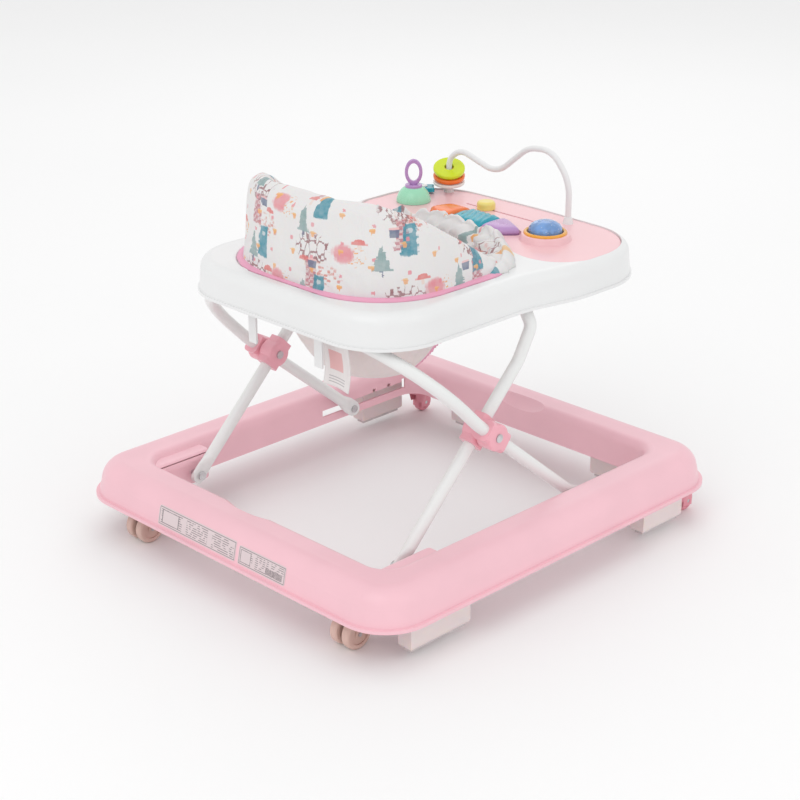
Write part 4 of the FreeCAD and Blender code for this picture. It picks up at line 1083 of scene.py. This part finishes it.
    def _folded_edge(self, rim: Array) -> Array:
        """Rows of the sling's top edge: a crinkled fold that lies over the binding at the front."""
        side = sideways(rim, True)
        s = np.arange(len(rim)) * PATH_STEP
        front = smooth(rim[:, 1], -0.012, 0.03)
        crinkle = 1 + 0.22 * np.sin(s * 310 + 2 * np.sin(s * 47)) + 0.12 * np.sin(s * 520)
        radius = 0.0003 + 0.0066 * front * crinkle
        turn = np.linspace(math.pi * 1.05, 0.1, 9)[:, None]
        over = (radius[None] * (1 - np.cos(turn)))[..., None]
        flat = rim[None] - side[None] * over
        lift = self.roll_up * front * self._crumple(s, 0.0) * (1 + np.cos(turn)) / 2
        high = self.tray_top + radius[None] * (1.1 * np.sin(turn) + 0.15) + lift - 0.0002 * turn
        return np.concatenate([flat, high[..., None]], axis=2)

    @staticmethod
    def _hole_measure(points: Array) -> tuple[Array, Array]:
        """Each point's distance from the nearer leg hole's middle, in radii, and the middle."""
        side = np.where(points[..., :1] > 0, 1, -1)
        middle = side * np.array([Seat.leg_hole[0], 0.0]) + np.array([0, Seat.leg_hole[1]])
        away = points[..., :2] - middle
        return np.linalg.norm(away / np.array(Seat.leg_reach), axis=-1), middle

    def _leg_holes(self, points: Array) -> Array:
        """Draw the points next to a leg hole's edge onto the edge."""
        measure, middle = self._hole_measure(points)
        near = (abs(measure - 1) < 0.055) & (points[..., 2] < self.tray_top - 0.03)
        moved = middle + (points[..., :2] - middle) / measure[..., None]
        points = points.copy()
        points[..., :2] = np.where(near[..., None], moved, points[..., :2])
        return points

    def _outside_holes(self, points: Array) -> Array:
        """True where the cloth is kept."""
        measure, _ = self._hole_measure(points)
        return (measure > 0.985) | (points[..., 2] > self.tray_top - 0.03)

    @staticmethod
    def _clean(piece: Object) -> None:
        """Merge the points that meet at the sling's bottom and give the sheet its thickness."""
        with editing(piece) as work:
            bmesh.ops.remove_doubles(work, verts=work.verts, dist=0.0002)
            loose = [vert for vert in work.verts if not vert.link_faces]
            bmesh.ops.delete(work, geom=loose, context="VERTS")
            bmesh.ops.recalc_face_normals(work, faces=work.faces)
        thicken(piece, "cloth_thickness", 0.0014)

    def build_piping(self) -> Object:
        """Pink binding round the opening: a flat oval section carried along the opening's edge."""
        path = self.rim(self.piping_inset, self.piping_step)
        side = sideways(path, True)
        turn = np.linspace(0, math.tau, 16, endpoint=False)
        wave = 1 + 0.06 * np.sin(np.arange(len(path)) * 0.9)[:, None]
        across = np.cos(turn)[None] * self.piping_half[0] * wave
        rise = np.sin(turn)[None] * self.piping_half[1] + 0.0004 - np.cos(turn)[None] * 0.0012
        flat = path[:, None] - side[:, None] * across[..., None]
        high = np.broadcast_to(self.tray_top + rise, across.shape)
        points = np.concatenate([flat, high[..., None]], axis=2)
        u = np.arange(len(path) + 1) * self.piping_step
        v = np.arange(len(turn) + 1) * 0.0018
        spread = np.stack(np.meshgrid(u, v, indexing="ij"), axis=2)
        piece = grid_piece("seat_binding", points, True, True, spread)
        outward(piece)
        return piece

    def build_label(self) -> Object:
        """Folded satin label that hangs under the tray, gently curled."""
        low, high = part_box("hanging_tag")
        u, v = np.meshgrid(np.linspace(0, 1, 24), np.linspace(0, 1, 44), indexing="ij")
        y = (low.y + high.y) / 2 + 0.004 * np.sin(u * 3.4 + 0.4) * (1 - v) + 0.0025 * np.sin(v * 7)
        x = low.x + (high.x - low.x) * (u * 0.94 + 0.03 + 0.03 * np.sin(v * 4))
        z = low.z + (high.z - low.z) * v
        points = np.stack([x, y, z], axis=2)
        spread = np.stack([np.pad(u, ((0, 1), (0, 1)), "edge") * 0.056,
                           np.pad(v, ((0, 1), (0, 1)), "edge") * 0.112], axis=2)
        piece = grid_piece("care_label", points, cloth_map=spread)
        thicken(piece, "label_thickness", 0.0008)
        return piece

    @staticmethod
    def label_material() -> Material:
        """Pale satin with one plain coral square and a few grey bars."""
        s = Shader("label_satin")
        u, v, _ = s.axes(s.cloth())
        p, q = u - 0.024, v - 0.038
        square = abs(p).either(abs(q)).step(0.0145, 0.0141)
        rows = (v * 260.0).math("FRACT")
        block = v.band(0.004, 0.005, 0.016, 0.017) * u.band(0.008, 0.009, 0.043, 0.044)
        bars = rows.band(0.35, 0.45, 0.7, 0.8) * block
        sheen = s.noise(s.place(scale=(1, 1, 0.1)), 300.0, 1.0)
        tone = s.mix(sheen, (0.82, 0.78, 0.77), (0.87, 0.84, 0.83))
        tone = s.mix(bars * 0.6, tone, (0.3, 0.28, 0.3))
        tone = s.mix(square * 0.6, tone, (0.8, 0.25, 0.25))
        thread = (v * (math.tau / 0.0006)).math("SINE") * 0.5 + 0.5
        return s.finish(Base_Color=tone, Roughness=sheen * 0.15 + 0.4,
                        Normal=s.bump(thread, 0.0001, 0.4), Sheen_Weight=0.3)

    def build(self) -> None:
        back = self.build_back()
        finish_piece(back, "tray", Finish.CLOTH.get(), ["seat_back"])
        sling = self.build_sling()
        finish_piece(sling, "tray", Finish.CLOTH.get(), ["seat_sling"])
        piping = self.build_piping()
        finish_piece(piping, "tray", Finish.PIPING.get(), ["seat_piping"])
        label = self.build_label()
        finish_piece(label, "tray", self.label_material(), ["hanging_tag"])


# ------------------------------------------------------------------ toys

@dataclass(frozen=True)
class Leaf:
    """One key of the leaf-shaped row: its corners in plan, counter-clockwise, and its ribs."""
    node: str
    finish: Finish
    slot: str
    corners: tuple[Pair, ...]
    ribs: float = 0.0

    def reach(self, angle: Array, power: float = 11.0) -> tuple[Array, Array]:
        """The middle of the corners and the softened outline's distance at each angle."""
        places = np.array(self.corners)
        middle = places.mean(axis=0)
        edge = np.roll(places, -1, axis=0) - places
        normal = np.stack([edge[:, 1], -edge[:, 0]], axis=1)
        normal /= np.linalg.norm(normal, axis=1, keepdims=True)
        away = ((places - middle) * normal).sum(axis=1)
        ray = np.stack([np.cos(angle), np.sin(angle)], axis=1)
        share = np.clip(ray @ (normal / away[:, None]).T, 0, None)
        return middle, (share ** power).sum(axis=1) ** (-1 / power)


@dataclass
class Toys:
    """The puffed keys and the faceted lamp cap."""
    foot: float = 0.4152
    key_edge: float = 0.0045
    key_rise: float = 0.0075
    rib_pitch: float = 0.0105
    cap_tall: float = 0.0135
    cap_arc: float = 0.86
    keys: tuple[Leaf, ...] = (
        Leaf("key_orange", Finish.ORANGE, "orange",
             ((-0.106, 0.166), (-0.088, 0.152), (-0.0575, 0.1505), (-0.0575, 0.206),
              (-0.094, 0.206))),
        Leaf("key_teal", Finish.TEAL_TOY, "teal",
             ((-0.0567, 0.1505), (0.0088, 0.1505), (0.0088, 0.202), (-0.0567, 0.206)), 0.0013),
        Leaf("key_purple", Finish.LILAC, "purple",
             ((0.0096, 0.1505), (0.048, 0.1515), (0.068, 0.174), (0.02, 0.202),
              (0.0096, 0.202))),
    )

    def build_key(self, leaf: Leaf) -> Object:
        """A puffed key: rings of a rounded outline, each lower than the one inside it.

        Args:
            leaf: the key's outline and finish.

        Returns:
            The key's object.
        """
        angle = np.linspace(0, math.tau, 160, endpoint=False)
        share = np.concatenate([np.linspace(0.02, 0.84, 22), np.linspace(0.86, 1.0, 12)])
        middle, reach = leaf.reach(angle)
        grid_x = share[:, None] * np.cos(angle) * reach
        grid_y = share[:, None] * np.sin(angle) * reach
        rise = np.sqrt(np.clip(1 - share ** 5, 0, 1))[:, None] * np.ones_like(angle)
        crest = 0.25 * (1 - (grid_y / 0.028) ** 2)
        ribs = leaf.ribs * abs(np.sin((grid_x + 0.35 * grid_y) * (math.pi / self.rib_pitch)))
        ribs = ribs * smooth(1 - share, 0.05, 0.2)[:, None]
        height = (self.foot + self.key_edge + self.key_rise * rise * (0.85 + crest) + ribs
                  - leaf.ribs / 2)
        grid_x, grid_y = np.vstack([grid_x, grid_x[-1:]]), np.vstack([grid_y, grid_y[-1:]])
        height = np.vstack([height, np.full((1, len(angle)), self.foot)])
        points = np.stack([middle[0] + grid_x, middle[1] + grid_y, height], axis=2)
        piece = grid_piece(leaf.node.replace("key", "puffed_key"), points, wrap_columns=True,
                           caps=True)
        outward(piece)
        return piece

    def build_cap(self) -> Object:
        """The lamp cap: rings of flat triangles, each ring turned by half a facet."""
        low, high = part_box("light_dome")
        x, y = (low.x + high.x) / 2, (low.y + high.y) / 2
        radius, top = (high.x - low.x) / 2 - 0.0002, high.z - 0.0003
        rings, facets = 6, 14
        arc = np.linspace(0, 1, rings)[:, None] * np.pi / 2 * self.cap_arc
        edge = top - self.cap_tall
        angle = (np.arange(facets)[None] + 0.5 * np.arange(rings)[:, None]) * (math.tau / facets)
        reach = radius * np.cos(arc)
        height = edge + (top - edge) * np.sin(arc) / math.sin(np.pi / 2 * self.cap_arc)
        flat = np.stack([x + reach * np.cos(angle), y + reach * np.sin(angle),
                         height * np.ones_like(angle)], axis=2).reshape(-1, 3)
        skirt = np.stack([x + radius * np.cos(angle[0]), y + radius * np.sin(angle[0]),
                          np.full(facets, low.z)], axis=1)
        points = np.concatenate([skirt, flat, [[x, y, top], [x, y, low.z]]])
        i, j = np.meshgrid(np.arange(rings - 1), np.arange(facets), indexing="ij")
        i, j = i.ravel() + 1, j.ravel()
        after = (j + 1) % facets
        low_here, low_after = i * facets + j, i * facets + after
        high_here = (i + 1) * facets + j
        ahead = np.stack([low_here, low_after, high_here], axis=1)
        behind = np.stack([low_after, (i + 1) * facets + after, high_here], axis=1)
        ring = np.arange(facets)
        follow = (ring + 1) % facets
        last = rings * facets
        crown = np.stack([last + ring, last + follow, np.full(facets, last + facets)], axis=1)
        base = np.stack([follow, ring, np.full(facets, last + facets + 1)], axis=1)
        wall = np.stack([ring, follow, facets + follow, facets + ring], axis=1)
        faces = [face for part in (ahead, behind, crown, base, wall) for face in part.tolist()]
        piece = new_piece("faceted_cap", points, faces, smooth=False)
        outward(piece)
        bevel = piece.modifiers.new("soft_edges", "BEVEL")
        bevel.width, bevel.segments = 0.0004, 2
        return piece

    def build(self) -> None:
        """Build and dress the keys and the cap."""
        for leaf in self.keys:
            finish_piece(self.build_key(leaf), leaf.node, leaf.finish.get(),
                         [leaf.node])
        finish_piece(self.build_cap(), "light", Finish.LIGHT.get(), ["light_dome"])


# ------------------------------------------------------------------ studio

@dataclass
class Studio:
    """Pale floor, soft lights and the camera."""
    eye: Triple = (1.7311, -1.7307, 1.1966)
    target: Triple = (0.014547, -0.017412, 0.2)
    lens: float = 82.32
    sensor: float = 36.0
    world_strength: float = 0.88
    floor_reach: float = 30.0

    def build_floor(self) -> None:
        """A wide pale floor that runs out of sight."""
        points = np.array([(-1, -1, 0), (1, -1, 0), (1, 1, 0), (-1, 1, 0)]) * self.floor_reach
        floor = new_piece("floor", points, [[0, 1, 2, 3]], False)
        s = Shader("floor_pale")
        cloud = s.noise(s.place(), 1.3, 2.0)
        tone = s.mix(cloud, (0.95, 0.95, 0.95), (0.97, 0.97, 0.97))
        wear(floor, s.finish(Base_Color=tone, Roughness=0.75))

    def hold(self, name: str, data: ID, at: Triple) -> Object:
        """Put a lamp or a camera into the scene, aimed at the middle of the object."""
        holder = bpy.data.objects.new(name, data)
        holder.location = at
        aim = Vector(self.target) - Vector(at)
        holder.rotation_euler = aim.to_track_quat("-Z", "Y").to_euler()
        bpy.context.scene.collection.objects.link(holder)
        return holder

    def add_light(self, name: str, at: Triple, size: float, power: float) -> None:
        """A square soft box."""
        lamp = bpy.data.lights.new(name, "AREA")
        lamp.energy, lamp.size = power, size
        self.hold(name, lamp, at)

    def build(self) -> None:
        """Build the floor, the light and the camera."""
        self.build_floor()
        world = bpy.data.worlds.new("studio")
        world.use_nodes = True
        sky = world.node_tree.nodes["Background"]
        sky.inputs[0].default_value = (1.0, 1.0, 1.0, 1.0)
        sky.inputs[1].default_value = self.world_strength
        bpy.context.scene.world = world
        bpy.context.scene.view_settings.view_transform = "Standard"
        self.add_light("key_box", (0.6, -2.2, 2.8), 2.4, 17.0)
        self.add_light("side_box", (2.8, 0.6, 1.8), 2.0, 5.0)
        self.add_light("back_box", (-1.8, 2.2, 2.4), 2.0, 9.0)
        camera = bpy.data.cameras.new("camera")
        camera.lens, camera.sensor_width = self.lens, self.sensor
        bpy.context.scene.camera = self.hold("camera", camera, self.eye)


def main() -> None:
    """Build everything in order."""
    Studio().build()
    PackedParts().dress()
    Seat().build()
    Toys().build()
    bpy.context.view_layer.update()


if __name__ == "__main__":
    main()
